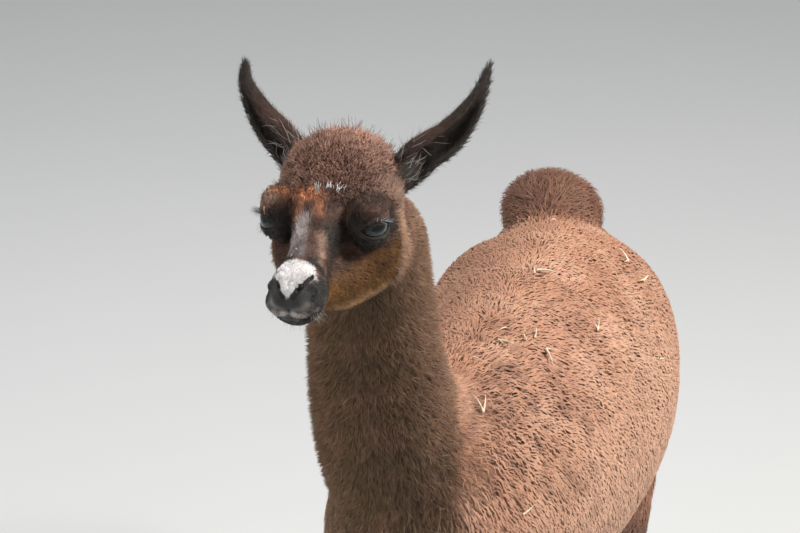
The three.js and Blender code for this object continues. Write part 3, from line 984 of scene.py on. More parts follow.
MARKS = (
    Mark("crown", CROWN_BROWN, (-85, 0, 60), (-20, 0, 55), 56, 14),
    Mark("forehead low", FACE_BROWN, (20, 20, 30), (0, 44, 30), 12, 10),
    Mark("face side", FACE_BROWN, (30, 15, 26), (48, 22, 6), 9, 6, strength=0.9),
    Mark("mask inner", MASK_BLACK, (12, 47, 4), (38, 27, 6), 15, 6),
    Mark("mask low", MASK_BLACK, (36, 30, -4), (70, 28, -40), 12.5, 6, end_radius=8),
    Mark("mask eye", MASK_BLACK, (-26, 66, 4), (12, 50, 0), 16.5, 5),
    Mark("mask under", MASK_BLACK, (-6, 58, -12), (30, 37, -18), 11.5, 6),
    Mark("mask lid", MASK_BLACK, (18, 43, 14), (-34, 64, 8), 10, 6, strength=0.9),
    Mark("cheek", CHEEK_TAN, (-34, 62, -38), (54, 33, -56), 21.5, 7),
    Mark("cheek front", CHEEK_TAN, (10, 50, -42), (62, 28, -60), 13, 6, strength=0.85),
    Mark("cheek shade", CHEEK_DARK, (-6, 62, -36), (34, 45, -46), 12, 12, strength=0.6),
    Mark("jaw edge", JAW_GOLD, (-34, 60, -68), (46, 28, -76), 8, 7, strength=0.8),
    Mark("cheek back", EDGE_TAN, (-58, 68, -4), (-40, 70, -48), 11, 6, strength=0.9),
    Mark("temple", EDGE_TAN, (-58, 68, 4), (-52, 70, -20), 8, 5, strength=0.8),
    # brows: tan hair and a painted highlight along the brow ridge
    Mark("brow", BROW_TAN_AND_HIGHLIGHT, (-20, 54, 41), (-60, 64, 19), 4.5, 6, strength=0.6),
    Mark("far brow", BROW_TAN_AND_HIGHLIGHT, (2, -58.5, 38), (12, -57, 30), 10, 8, False, 0.75),
    Mark("far mask", MASK_BLACK, (12, -48, -4), (66, -30, -26), 19, 6, False, 0.95),
    Mark("far cheek", FACE_BROWN, (6, -50, -28), (70, -30, -44), 19, 6, False, 0.9),
    Mark("rust brow", PATCH_RUST, (3, -47, 37.5), (14, -18, 38), 7.5, 6, False, 0.8),
    Mark("rust middle", PATCH_RUST, (14, -18, 38), (18, -1, 39.5), 6.8, 4, False),
    Mark("rust drop", PATCH_RUST, (18, -1, 39), (30, 5, 27), 4.8, 5, False, 0.6),
    Mark("rust far", PATCH_RUST, (18, -19, 33), (28, -21, 18), 4.5, 5, False, 0.7),
    # painted sheen down the bridge of the nose
    Mark("bridge", BRIDGE_SHEEN, (38, -13, 19.5), (78, -9, -6), 10.5, 4, False, 1, 12),
    Mark("bridge low", MASK_BLACK, (66, -8, 1), (84, -6, -9), 11, 9, False, 0.8),
    Mark("bridge shade", FACE_BROWN, (40, 3, 17), (78, 11, -8), 5, 5, False, 0.85),
    Mark("nose edge", FACE_BROWN, (80, -20, -8), (80, 14, -9), 4.2, 4, False, 0.8),
    Mark("bridge end", MASK_BLACK, (78, 14, -10), (74, 24, -18), 7, 4),
    Mark("streak near", STREAK_TAN, (48, 12.5, 8), (60, 19, -9), 3.8, 4.5, False, 0.6),
    Mark("streak end", STREAK_TAN, (60, 19, -9), (70, 19.8, -13.5), 2.8, 3, False, 0.5),
    Mark("streak far", STREAK_TAN, (22, -22.5, 23.5), (36, -25.8, 3.5), 2.6, 2, False, 0.95),
    Mark("streak far end", STREAK_TAN, (36, -25.8, 3.5), (68, -24, -10), 2.6, 1.8, False),
    Mark("muzzle", LIP_BLACK, (104, 17, -36), (96, 22, -58), 15, 4),
    Mark("muzzle front", LIP_BLACK, (116, 0, -46), (112, 0, -64), 12, 4),
    Mark("muzzle side", LIP_BLACK, (92, 25, -30), (80, 28, -46), 11, 5),
    Mark("chin", LIP_BLACK, (98, 0, -72), (86, 0, -74), 21, 5),
    # lip rim: grey hair with a painted highlight; lip sheen: painted sheen
    Mark("lip rim", LIP_GREY_AND_SHEEN, (118.5, 2, -52.5), (113.4, 13.8, -55), 3, 1.8),
    Mark("lip rim side", LIP_GREY_AND_SHEEN, (113.4, 13.8, -55), (103.7, 25, -49), 2.4, 2, strength=0.8),
    Mark("lip sheen", LIP_GREY_AND_SHEEN, (118, 6, -45), (110, 18, -45), 4, 4, strength=0.4),
    Mark("nostril", LIP_BLACK, (103, 18, -22.5), (119, 5, -36), 4.8, 2),
    Mark("nose under", LIP_BLACK, (104, 6, -22), (116, 4, -34), 13, 3),
    Mark("nose top", NOSE_WHITE, (95.5, -12, -12), (96.5, 12, -12), 13, 2.2, False),
    Mark("nose point", NOSE_WHITE, (104, -1, -18), (116.5, 1, -26.2), 12.5, 1.8, False, end_radius=6.8),
    Mark("nose tip", NOSE_WHITE, (116.5, 0.5, -26.2), (119, -0.5, -34.5), 6, 1.8, False, end_radius=2.8),
    Mark("nose side", NOSE_WHITE, (106, 11.5, -18.5), (116.5, 5.5, -24.5), 5.2, 1.5),
    Mark("nose wing", NOSE_WHITE, (96, 17, -18), (94, 20.5, -22), 2.6, 2, strength=0.7),
    # dark nostril rims, with painted shade inside the nostril slits
    Mark("slit high", LIP_BLACK, (100, 20, -19), (112, 12.2, -25.4), 2.1, 1),
    Mark("slit low", LIP_BLACK, (112, 12.2, -25.4), (119.5, 4.5, -36.5), 3, 1))

WHITE_FLECKS = ((0.015, -0.0015, 0.043), (0.0115, 0.0084, 0.0465), (0.009, 0.019, 0.0445))


class Markings:
    """Colours the skin and the coat from one set of rules, by place."""

    colour_blend = 0.014

    def body(self, p: Array, d: Array) -> Array:
        """Colours trunk, neck, tail and legs, blending where they meet.

        Args:
            p: points.
            d: the parts' distances there.

        Returns:
            Linear colours, one row for each point.
        """
        weight = nearness(d[:, BODY_COLUMNS], self.colour_blend)
        wander = ripple(p, 0.11, 0.4)
        collar = (p[:, 1] + 0.275 - 0.07 * ease(-0.02, -0.08, p[:, 0])
                  - 0.6 * np.maximum(p[:, 2] - 0.8, 0) + 0.012 * ripple(p, 0.03, 2.7))
        dark = ease(0.016, -0.016, collar) * ease(0.565, 0.625, p[:, 2] + 0.02 * wander)
        both = weight[:, 0] + weight[:, 1]
        weight[:, 0], weight[:, 1] = both * (1 - dark), both * dark
        weight[:, 3:] *= (1 - 0.9 * dark)[:, None]
        trunk = self.mix(RUST_WOOL, PALE_RUST, ease(-0.2, 1.0, wander) * 0.35)
        # painted light: the trunk's right side paler, where the sun falls on it
        trunk = self.mix(trunk, PALE_RUST, 0.45 * ease(0.11, 0.18, p[:, 0]))
        # darker patches towards the front of the trunk
        front_patches = ease(0.05, 0.8, ripple(p, 0.045, 6.0)) * ease(0.02, -0.1, p[:, 1])
        trunk = self.mix(trunk, TAIL_BROWN, 0.55 * front_patches)
        # painted light: the trunk paler lower down, as on its sunlit lower flank
        trunk = self.mix(trunk, PALE_RUST, 0.35 * ease(0.76, 0.62, p[:, 2]))
        trunk = self.mix(trunk, DARK_RUST, 0.12 * ease(0.54, 0.42, p[:, 2] + 0.02 * wander))
        neck = self.mix(NECK_BROWN, NECK_RED, ease(-0.2, 1.1, ripple(p, 0.06, 2.0)) * 0.5)
        neck = self.mix(neck, NECK_RED, 0.75 * ease(1.045, 1.075, p[:, 2] - 0.25 * (p[:, 1] + 0.4)))
        # painted light: the neck's right side above the shoulder redder and lighter, as a sunlit rim
        sunny = ease(0.012, 0.055, p[:, 0]) * ease(0.78, 0.86, p[:, 2])
        neck = self.mix(neck, NECK_RED, 0.6 * sunny)
        tail = self.mix(TAIL_BROWN, NECK_RED, ease(0.0, 1.0, ripple(p, 0.05, 3.0)) * 0.5)
        shank = self.mix(RUST_WOOL, DARK_RUST, ease(0.56, 0.46, p[:, 2]))
        shank = self.mix(shank, SHANK_BROWN, ease(0.46, 0.36, p[:, 2] + 0.015 * wander))
        shank = self.mix(shank, FOOT_DARK, ease(0.14, 0.05, p[:, 2]))
        each = np.stack([trunk, neck, tail, shank, shank, shank, shank], 1)
        weight[:, 2] *= ease(0.315, 0.35, p[:, 1]) * 3 + 0.05
        return (each * weight[:, :, None]).sum(1) / weight.sum(1, keepdims=True)

    def mix(self, base: Colour | Array, over: Colour | Array, share: Array) -> Array:
        """Lays one colour over another by a share for each point."""
        return np.array(base) * (1 - share[:, None]) + np.array(over) * share[:, None]

    def head(self, q: Array) -> Array:
        """Colours the head from its marks, the later over the earlier.

        Args:
            q: points in the head's frame.

        Returns:
            Linear colours, one row for each point.
        """
        colour = self.mix(FACE_BROWN, CROWN_BROWN, 0.35 * ease(-0.3, 1.0, ripple(q, 0.02, 5.0)))
        for mark in MARKS:
            colour = self.mix(colour, mark.colour, mark.cover(q))
        return colour

    def ear(self, q: Array, side: int) -> Array:
        """Colours an ear: black, redder along its upper edge, partly as painted light where that edge is lit.

        Args:
            q: points in the head's frame.
            side: 1 for left, -1 for right.

        Returns:
            Linear colours, one row for each point.
        """
        s = catmull(FORM.ears[side], 4)
        near = nearest(q, s)
        rel = q - s[near, :3]
        edge = rel[:, 2] / np.maximum(s[near, 3], 0.004)
        share = 0.8 * ease(0.1, 0.9, edge) * ease(len(s) * 0.95, len(s) * 0.5, near)
        return self.mix(EAR_BLACK, EAR_RED, share)

    def colour(self, p: Array, ears: Array) -> Array:
        """Gives the coat's colour at each point.

        Args:
            p: points.
            ears: 1 on the left ear, -1 on the right one, 0 elsewhere.

        Returns:
            Linear colours, one row for each point.
        """
        d = FORM.distances(p)
        q = HEAD.local(p)
        body = self.body(p, d)
        share = ease(0.012, -0.012, d[:, 2] - d[:, 1] + 0.004 * ripple(p, 0.02, 1.0))
        share = np.where(d[:, 2] < 0.05, share, 0.0)
        out = self.mix(body, self.head(q), share)
        for side in SIDES:
            mine = ears == side
            if mine.any():
                out[mine] = self.ear(q[mine], side)
        return out


MARKINGS = Markings()


# ---- mesh and node helpers


def link(piece: Piece) -> Piece:
    """Puts an object in the scene."""
    bpy.context.scene.collection.objects.link(piece)
    return piece


def mesh_piece(name: str, verts: Array, faces: Array, material: Material) -> Piece:
    """Makes a smooth-shaded object from arrays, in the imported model's frame.

    Args:
        name: the object's name.
        verts: vertices in the form's frame.
        faces: triangles or quads, as one array.
        material: what it is made of.

    Returns:
        The linked object.
    """
    mesh = bpy.data.meshes.new(name)
    mesh.vertices.add(len(verts))
    mesh.vertices.foreach_set("co", (verts + SHIFT).astype(np.float32).ravel())
    mesh.loops.add(faces.size)
    mesh.loops.foreach_set("vertex_index", faces.astype(np.int32).ravel())
    mesh.polygons.add(len(faces))
    mesh.polygons.foreach_set("loop_start", np.arange(0, faces.size, faces.shape[1], dtype=np.int32))
    mesh.update(calc_edges=True)
    mesh.shade_smooth()
    mesh.materials.append(material)
    return link(bpy.data.objects.new(name, mesh))


def paint(piece: Piece, name: str, rows: Array) -> None:
    """Stores numbers at each vertex as a colour attribute.

    Args:
        piece: the object.
        name: the attribute's name.
        rows: three or four numbers for each vertex.
    """
    values = np.ones((len(rows), 4), np.float32)
    values[:, :rows.shape[1]] = rows
    piece.data.color_attributes.new(name, "FLOAT_COLOR", "POINT").data.foreach_set("color", values.ravel())


def fit(piece: Piece, slot: str, *nodes: str) -> Piece:
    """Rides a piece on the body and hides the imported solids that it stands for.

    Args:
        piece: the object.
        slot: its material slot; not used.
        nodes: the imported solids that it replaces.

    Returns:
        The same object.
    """
    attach(piece, "root")
    if nodes:
        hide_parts(*nodes)
    LOG.info("%s: %d faces", piece.name, len(piece.data.polygons))
    return piece


class Nodes:
    """Adds nodes to a tree and joins their sockets, by name."""

    def __init__(self, tree: Tree) -> None:
        """Starts on a tree."""
        self.tree = tree

    def add(self, kind: str, settings: dict | None = None, **inputs: object) -> bpy.types.Node:
        """Adds a node.

        Args:
            kind: the node's type.
            settings: its own properties.
            inputs: its sockets, spaces written as underscores: a value, or a socket to join.

        Returns:
            The node.
        """
        node = self.tree.nodes.new(kind)
        for key, value in (settings or {}).items():
            setattr(node, key, value)
        self.fill(node, **inputs)
        return node

    def fill(self, node: bpy.types.Node, **inputs: object) -> None:
        """Joins or sets several inputs of a node."""
        for key, value in inputs.items():
            self.put(self.socket(node, key), value)

    @staticmethod
    def socket(node: bpy.types.Node, key: str) -> Socket:
        """Finds an input by its name, or by its place as in _0.

        Args:
            node: the node.
            key: the input's name or place.

        Returns:
            The input.
        """
        if key[0] == "_" and key[1:].isdigit():
            return node.inputs[int(key[1:])]
        return node.inputs[key.replace("_", " ")]

    def put(self, socket: Socket, value: object) -> None:
        """Joins or sets one input.

        Args:
            socket: the input.
            value: a value, or an output to join.
        """
        if isinstance(value, Socket):
            self.tree.links.new(value, socket)
        elif isinstance(value, tuple) and len(value) == 3 and socket.type == "RGBA":
            socket.default_value = (*value, 1.0)
        else:
            socket.default_value = value

    def math(self, operation: str, a: object, b: object = 0.0) -> Socket:
        """Does a sum on one or two values."""
        return self.add("ShaderNodeMath", {"operation": operation}, _0=a, _1=b).outputs[0]

    def plus(self, a: object, b: object) -> Socket:
        """Adds two values."""
        return self.math("ADD", a, b)

    def minus(self, a: object, b: object) -> Socket:
        """Takes the second value from the first."""
        return self.math("SUBTRACT", a, b)

    def times(self, a: object, b: object) -> Socket:
        """Multiplies two values."""
        return self.math("MULTIPLY", a, b)

    def blend(self, share: object, a: object, b: object) -> Socket:
        """Mixes two colours."""
        return self.add("ShaderNodeMix", {"data_type": "RGBA"}, _0=share, _6=a, _7=b).outputs[2]

    def attribute(self, name: str) -> Socket:
        """Gives a colour attribute of the mesh."""
        return self.add("ShaderNodeAttribute", {"attribute_name": name}).outputs["Color"]

    def split(self, colour: Socket) -> list[Socket]:
        """Gives a colour's three numbers."""
        return self.add("ShaderNodeSeparateColor", {}, Color=colour).outputs[:3]

    def bump(self, height: Socket, strength: float = 1.0) -> Socket:
        """Turns heights in metres into a bumpy normal."""
        return self.add("ShaderNodeBump", {}, Strength=strength, Distance=1.0, Height=height).outputs[0]

    def band(self, value: object, low: float, high: float, to_low: float = 0.0,
             to_high: float = 1.0) -> Socket:
        """Maps a value's range onto another, with ends held.

        Args:
            value: the value.
            low: the range's start.
            high: its end.
            to_low: what the start becomes.
            to_high: what the end becomes.

        Returns:
            The new value.
        """
        node = self.add("ShaderNodeMapRange", {}, Value=value, From_Min=low, From_Max=high,
                        To_Min=to_low, To_Max=to_high)
        return node.outputs[0]

    def place(self, scale: Point = (1, 1, 1)) -> Socket:
        """Gives the object's own coordinates, scaled."""
        here = self.add("ShaderNodeTexCoord").outputs["Object"]
        return self.add("ShaderNodeMapping", {}, Vector=here, Scale=scale).outputs[0]

    def noise(self, scale: float, detail: float = 3.0, where: object = None,
              twist: float = 0.0) -> Socket:
        """Gives a noise value over the surface.

        Args:
            scale: how fine it is.
            detail: how many finer layers it has.
            where: coordinates, or the object's own.
            twist: how far it is distorted.

        Returns:
            The value, from 0 to 1.
        """
        where = self.place() if where is None else where
        node = self.add("ShaderNodeTexNoise", {}, Vector=where, Scale=scale, Detail=detail, Distortion=twist)
        return node.outputs["Fac"]


def shader_group(name: str, inputs: Sequence[tuple[str, str, object]],
                 outputs: Sequence[tuple[str, str]]) -> tuple[Tree, Nodes, bpy.types.Node, bpy.types.Node]:
    """Starts a shader node group.

    Args:
        name: the group's name.
        inputs: name, socket type and default of each input.
        outputs: name and socket type of each output.

    Returns:
        The group, a helper on it, and its input and output nodes.
    """
    tree = bpy.data.node_groups.new(name, "ShaderNodeTree")
    for title, kind, value in inputs:
        socket = tree.interface.new_socket(title, in_out="INPUT", socket_type=kind)
        socket.default_value = (*value, 1.0) if isinstance(value, tuple) else value
    for title, kind in outputs:
        tree.interface.new_socket(title, in_out="OUTPUT", socket_type=kind)
    nodes = Nodes(tree)
    return tree, nodes, nodes.add("NodeGroupInput"), nodes.add("NodeGroupOutput")


def strand_group() -> Tree:
    """Builds the effect that makes each lock darker at its root, partly as painted shade deep in the coat,
    and unlike its neighbour.

    Returns:
        The node group.
    """
    colour, number = "NodeSocketColor", "NodeSocketFloat"
    tree, n, given, out = shader_group(
        "strand variation",
        [("Colour", colour, (0.5, 0.5, 0.5)), ("Strand", colour, (0.5, 0.5, 0.5)), ("Root", number, 0.4),
         ("Tip", number, 1.3), ("Spread", number, 0.3), ("Warmth", number, 0.1)],
        [("Colour", colour)])
    root, tip, spread, warmth = (given.outputs[key] for key in ("Root", "Tip", "Spread", "Warmth"))
    along, chance, clump = n.split(given.outputs["Strand"])
    rise = n.math("POWER", along, 0.8)
    shade = n.plus(root, n.times(rise, n.minus(tip, root)))
    vary = n.plus(n.times(n.minus(chance, 0.5), spread), n.times(n.minus(clump, 0.5), spread))
    bright = n.times(shade, n.plus(vary, 1.0))
    hue = n.plus(0.5, n.times(n.minus(clump, 0.5), n.times(warmth, 0.2)))
    tint = n.add("ShaderNodeHueSaturation", {}, Hue=hue, Saturation=1.0, Value=bright,
                 Color=given.outputs["Colour"])
    n.fill(out, Colour=tint.outputs[0])
    return tree


def mottle_group() -> Tree:
    """Builds the effect that lightens and darkens a colour in soft patches and fine flecks.

    Returns:
        The node group.
    """
    colour, number = "NodeSocketColor", "NodeSocketFloat"
    tree, n, given, out = shader_group(
        "mottle",
        [("Colour", colour, (0.5, 0.5, 0.5)), ("Patch Scale", number, 18.0), ("Fleck Scale", number, 220.0),
         ("Amount", number, 0.3)],
        [("Colour", colour), ("Fleck", number)])
    here = n.place()
    patch = n.add("ShaderNodeTexNoise", {}, Vector=here, Scale=given.outputs["Patch Scale"], Detail=3.0)
    fleck = n.add("ShaderNodeTexNoise", {}, Vector=here, Scale=given.outputs["Fleck Scale"], Detail=2.0)
    both = n.plus(n.times(patch.outputs["Fac"], 0.6), n.times(fleck.outputs["Fac"], 0.4))
    value = n.plus(1.0, n.times(n.minus(both, 0.5), n.times(given.outputs["Amount"], 4.0)))
    tint = n.add("ShaderNodeHueSaturation", {}, Hue=0.5, Saturation=1.0, Value=value,
                 Color=given.outputs["Colour"])
    n.fill(out, Colour=tint.outputs[0], Fleck=fleck.outputs["Fac"])
    return tree


@dataclass
class Effects:
    """The node groups that more than one material uses."""

    strand: Tree = field(default_factory=strand_group)
    mottle: Tree = field(default_factory=mottle_group)


EFFECTS = Effects()


def new_material(name: str) -> tuple[Material, Nodes, bpy.types.Node]:
    """Starts a material with a Principled shader joined to its output.

    Args:
        name: the material's name.

    Returns:
        The material, a helper on its tree, and the shader node.
    """
    material = bpy.data.materials.new(name)
    material.use_nodes = True
    material.node_tree.nodes.clear()
    nodes = Nodes(material.node_tree)
    shader = nodes.add("ShaderNodeBsdfPrincipled")
    nodes.add("ShaderNodeOutputMaterial", {}, Surface=shader.outputs[0])
    return material, nodes, shader


@dataclass(frozen=True)
class CoatFinish:
    """Hair and wool: colour by place, darker roots that are partly painted shade, lighter tips."""

    name: str
    root: float
    tip: float
    spread: float
    warmth: float = 0.04
    mottle: float = 0.25
    roughness: float = 0.62
    gloss: float = 0.35

    def build(self) -> Material:
        """Makes the material.

        Returns:
            The material.
        """
        material, n, shader = new_material(self.name)
        base, strand = n.attribute("coat_colour"), n.attribute("strand")
        patch = n.add("ShaderNodeGroup", {"node_tree": EFFECTS.mottle}, Colour=base, Patch_Scale=16.0,
                      Fleck_Scale=260.0, Amount=self.mottle)
        colour = n.add("ShaderNodeGroup", {"node_tree": EFFECTS.strand}, Colour=patch.outputs["Colour"],
                       Strand=strand, Root=self.root, Tip=self.tip, Spread=self.spread, Warmth=self.warmth)
        rough = n.band(patch.outputs["Fleck"], 0.3, 0.7, self.roughness - 0.06, self.roughness + 0.08)
        n.fill(shader, Base_Color=colour.outputs["Colour"], Roughness=rough, Specular_IOR_Level=self.gloss)
        return material


@dataclass(frozen=True)
class SkinFinish:
    """Skin and its shortest hair: the coat's markings over fine nap, and bare, leathery nose and lips."""

    name: str
    shade: float = 0.95
    nap_scale: float = 900.0
    nap_depth: float = 0.0006
    curl_scale: float = 95.0
    curl_depth: float = 0.0006
    pebble_scale: float = 1100.0
    pebble_depth: float = 0.0004
    # near-black of the lid rims, and painted shade inside the nostril and mouth slits
    lid: Colour = (0.012, 0.01, 0.01)

    def build(self) -> Material:
        """Makes the material.

        Returns:
            The material.
        """
        material, n, shader = new_material(self.name)
        base = n.attribute("coat_colour")
        wool, bare, lid = n.split(n.attribute("zone"))
        patch = n.add("ShaderNodeGroup", {"node_tree": EFFECTS.mottle}, Colour=base, Patch_Scale=20.0,
                      Fleck_Scale=420.0, Amount=0.3)
        # painted shade: the skin under hair a little darker, the bare leather not
        shade = n.times(n.minus(1.0, bare), 1.0 - self.shade)
        dark = n.blend(shade, patch.outputs["Colour"], (0.0, 0.0, 0.0))
        colour = n.blend(lid, dark, self.lid)
        nap = n.noise(self.nap_scale, 2.0, n.place((1.0, 1.0, 0.35)))
        curl = n.noise(self.curl_scale, 4.0, n.place((0.6, 0.6, 1.5)), 1.2)
        pebble = n.add("ShaderNodeTexVoronoi", {}, Vector=n.place(), Scale=self.pebble_scale).outputs[0]
        height = n.plus(n.times(nap, self.nap_depth), n.times(n.times(curl, wool), self.curl_depth))
        height = n.plus(height, n.times(n.times(pebble, bare), self.pebble_depth))
        normal = n.bump(height)
        rough = n.minus(n.band(nap, 0.3, 0.7, 0.62, 0.78), n.times(bare, 0.26))
        n.fill(shader, Base_Color=colour, Roughness=rough, Normal=normal, Specular_IOR_Level=0.35,
               Sheen_Weight=0.08, Sheen_Roughness=0.5)
        return material


@dataclass(frozen=True)
class EyeFinish:
    """A wet, dark eye: brown-grey iris with fine rays tinted green as a painted reflection, a wide pupil and
    a dark rim.
    """

    name: str
    iris: Colour = (0.008, 0.01, 0.007)
    # the rays' green tint: a painted reflection
    ray: Colour = (0.034, 0.046, 0.026)
    rim: Colour = (0.01, 0.008, 0.007)
    pupil: Colour = (0.002, 0.002, 0.003)

    def build(self) -> Material:
        """Makes the material.

        Returns:
            The material.
        """
        material, n, shader = new_material(self.name)
        across, height, turn = n.split(n.attribute("aim"))
        radius = n.math("SQRT", n.plus(n.times(across, across), n.times(height, height)))
        wide, high = n.times(across, 0.62), n.times(height, 1.35)
        oval = n.math("SQRT", n.plus(n.times(wide, wide), n.times(high, high)))
        where = n.add("ShaderNodeCombineXYZ", {}, X=n.times(turn, 14.0), Y=n.times(radius, 1.6))
        rays = n.add("ShaderNodeTexNoise", {"noise_dimensions": "2D"}, Vector=where.outputs[0], Scale=4.0,
                     Detail=4.0).outputs["Fac"]
        iris = n.blend(n.band(rays, 0.35, 0.68), self.iris, self.ray)
        iris = n.blend(n.band(radius, 0.5, 0.66), iris, self.rim)
        colour = n.blend(n.band(oval, 0.31, 0.27), iris, self.pupil)
        rough = n.band(rays, 0.3, 0.7, 0.2, 0.34)
        n.fill(shader, Base_Color=colour, Roughness=rough, Specular_IOR_Level=0.2, Coat_Weight=1.0,
               Coat_Roughness=0.03, Coat_IOR=1.33)
        return material


@dataclass(frozen=True)
class HornFinish:
    """Toenail horn: dark, ringed across by growth, worn paler in patches."""

    name: str
    dark: Colour = (0.03, 0.024, 0.02)
    pale: Colour = (0.13, 0.1, 0.075)

    def build(self) -> Material:
        """Makes the material.

        Returns:
            The material.
        """
        material, n, shader = new_material(self.name)
        ring = n.add("ShaderNodeTexWave", {"bands_direction": "Y"}, Vector=n.place((1.0, 1.0, 0.6)),
                     Scale=160.0, Distortion=3.0, Detail=3.0, Detail_Scale=2.0).outputs["Fac"]
        grain = n.noise(500.0, 3.0, n.place((1.0, 0.2, 1.0)))
        worn = n.times(n.noise(90.0, 3.0), n.band(ring, 0.2, 0.9, 0.3, 1.0))
        colour = n.blend(worn, self.dark, self.pale)
        normal = n.bump(n.plus(n.times(ring, 0.0003), n.times(grain, 0.0002)), 0.7)
        n.fill(shader, Base_Color=colour, Roughness=n.band(grain, 0.3, 0.7, 0.35, 0.55), Normal=normal)
        return material


@dataclass(frozen=True)
class BristleFinish:
    """Lashes, whiskers and bits of straw: one colour that drifts along each piece."""

    name: str
    first: Colour
    second: Colour
    roughness: float = 0.45

    def build(self) -> Material:
        """Makes the material.

        Returns:
            The material.
        """
        material, n, shader = new_material(self.name)
        drift = n.noise(140.0, 3.0)
        colour = n.blend(n.band(drift, 0.35, 0.65), self.first, self.second)
        rough = n.band(drift, 0.3, 0.7, self.roughness - 0.08, self.roughness + 0.08)
        n.fill(shader, Base_Color=colour, Roughness=rough)
        return material


@dataclass(frozen=True)
class FloorFinish:
    """The studio's pale, matt floor."""

    name: str
    colour: Colour = (0.66, 0.66, 0.65)

    def build(self) -> Material:
        """Makes the material.

        Returns:
            The material.
        """
        material, n, shader = new_material(self.name)
        grain = n.noise(3.0, 4.0)
        worn = tuple(c * 0.96 for c in self.colour)
        n.fill(shader, Base_Color=n.blend(grain, self.colour, worn),
               Roughness=n.band(grain, 0.3, 0.7, 0.85, 0.95))
        return material


# ---- skin


@dataclass
class Surface:
    """The skin's mesh, with what the coat needs to know at each vertex."""

    verts: Array
    tris: Array
    normals: Array
    ears: Array


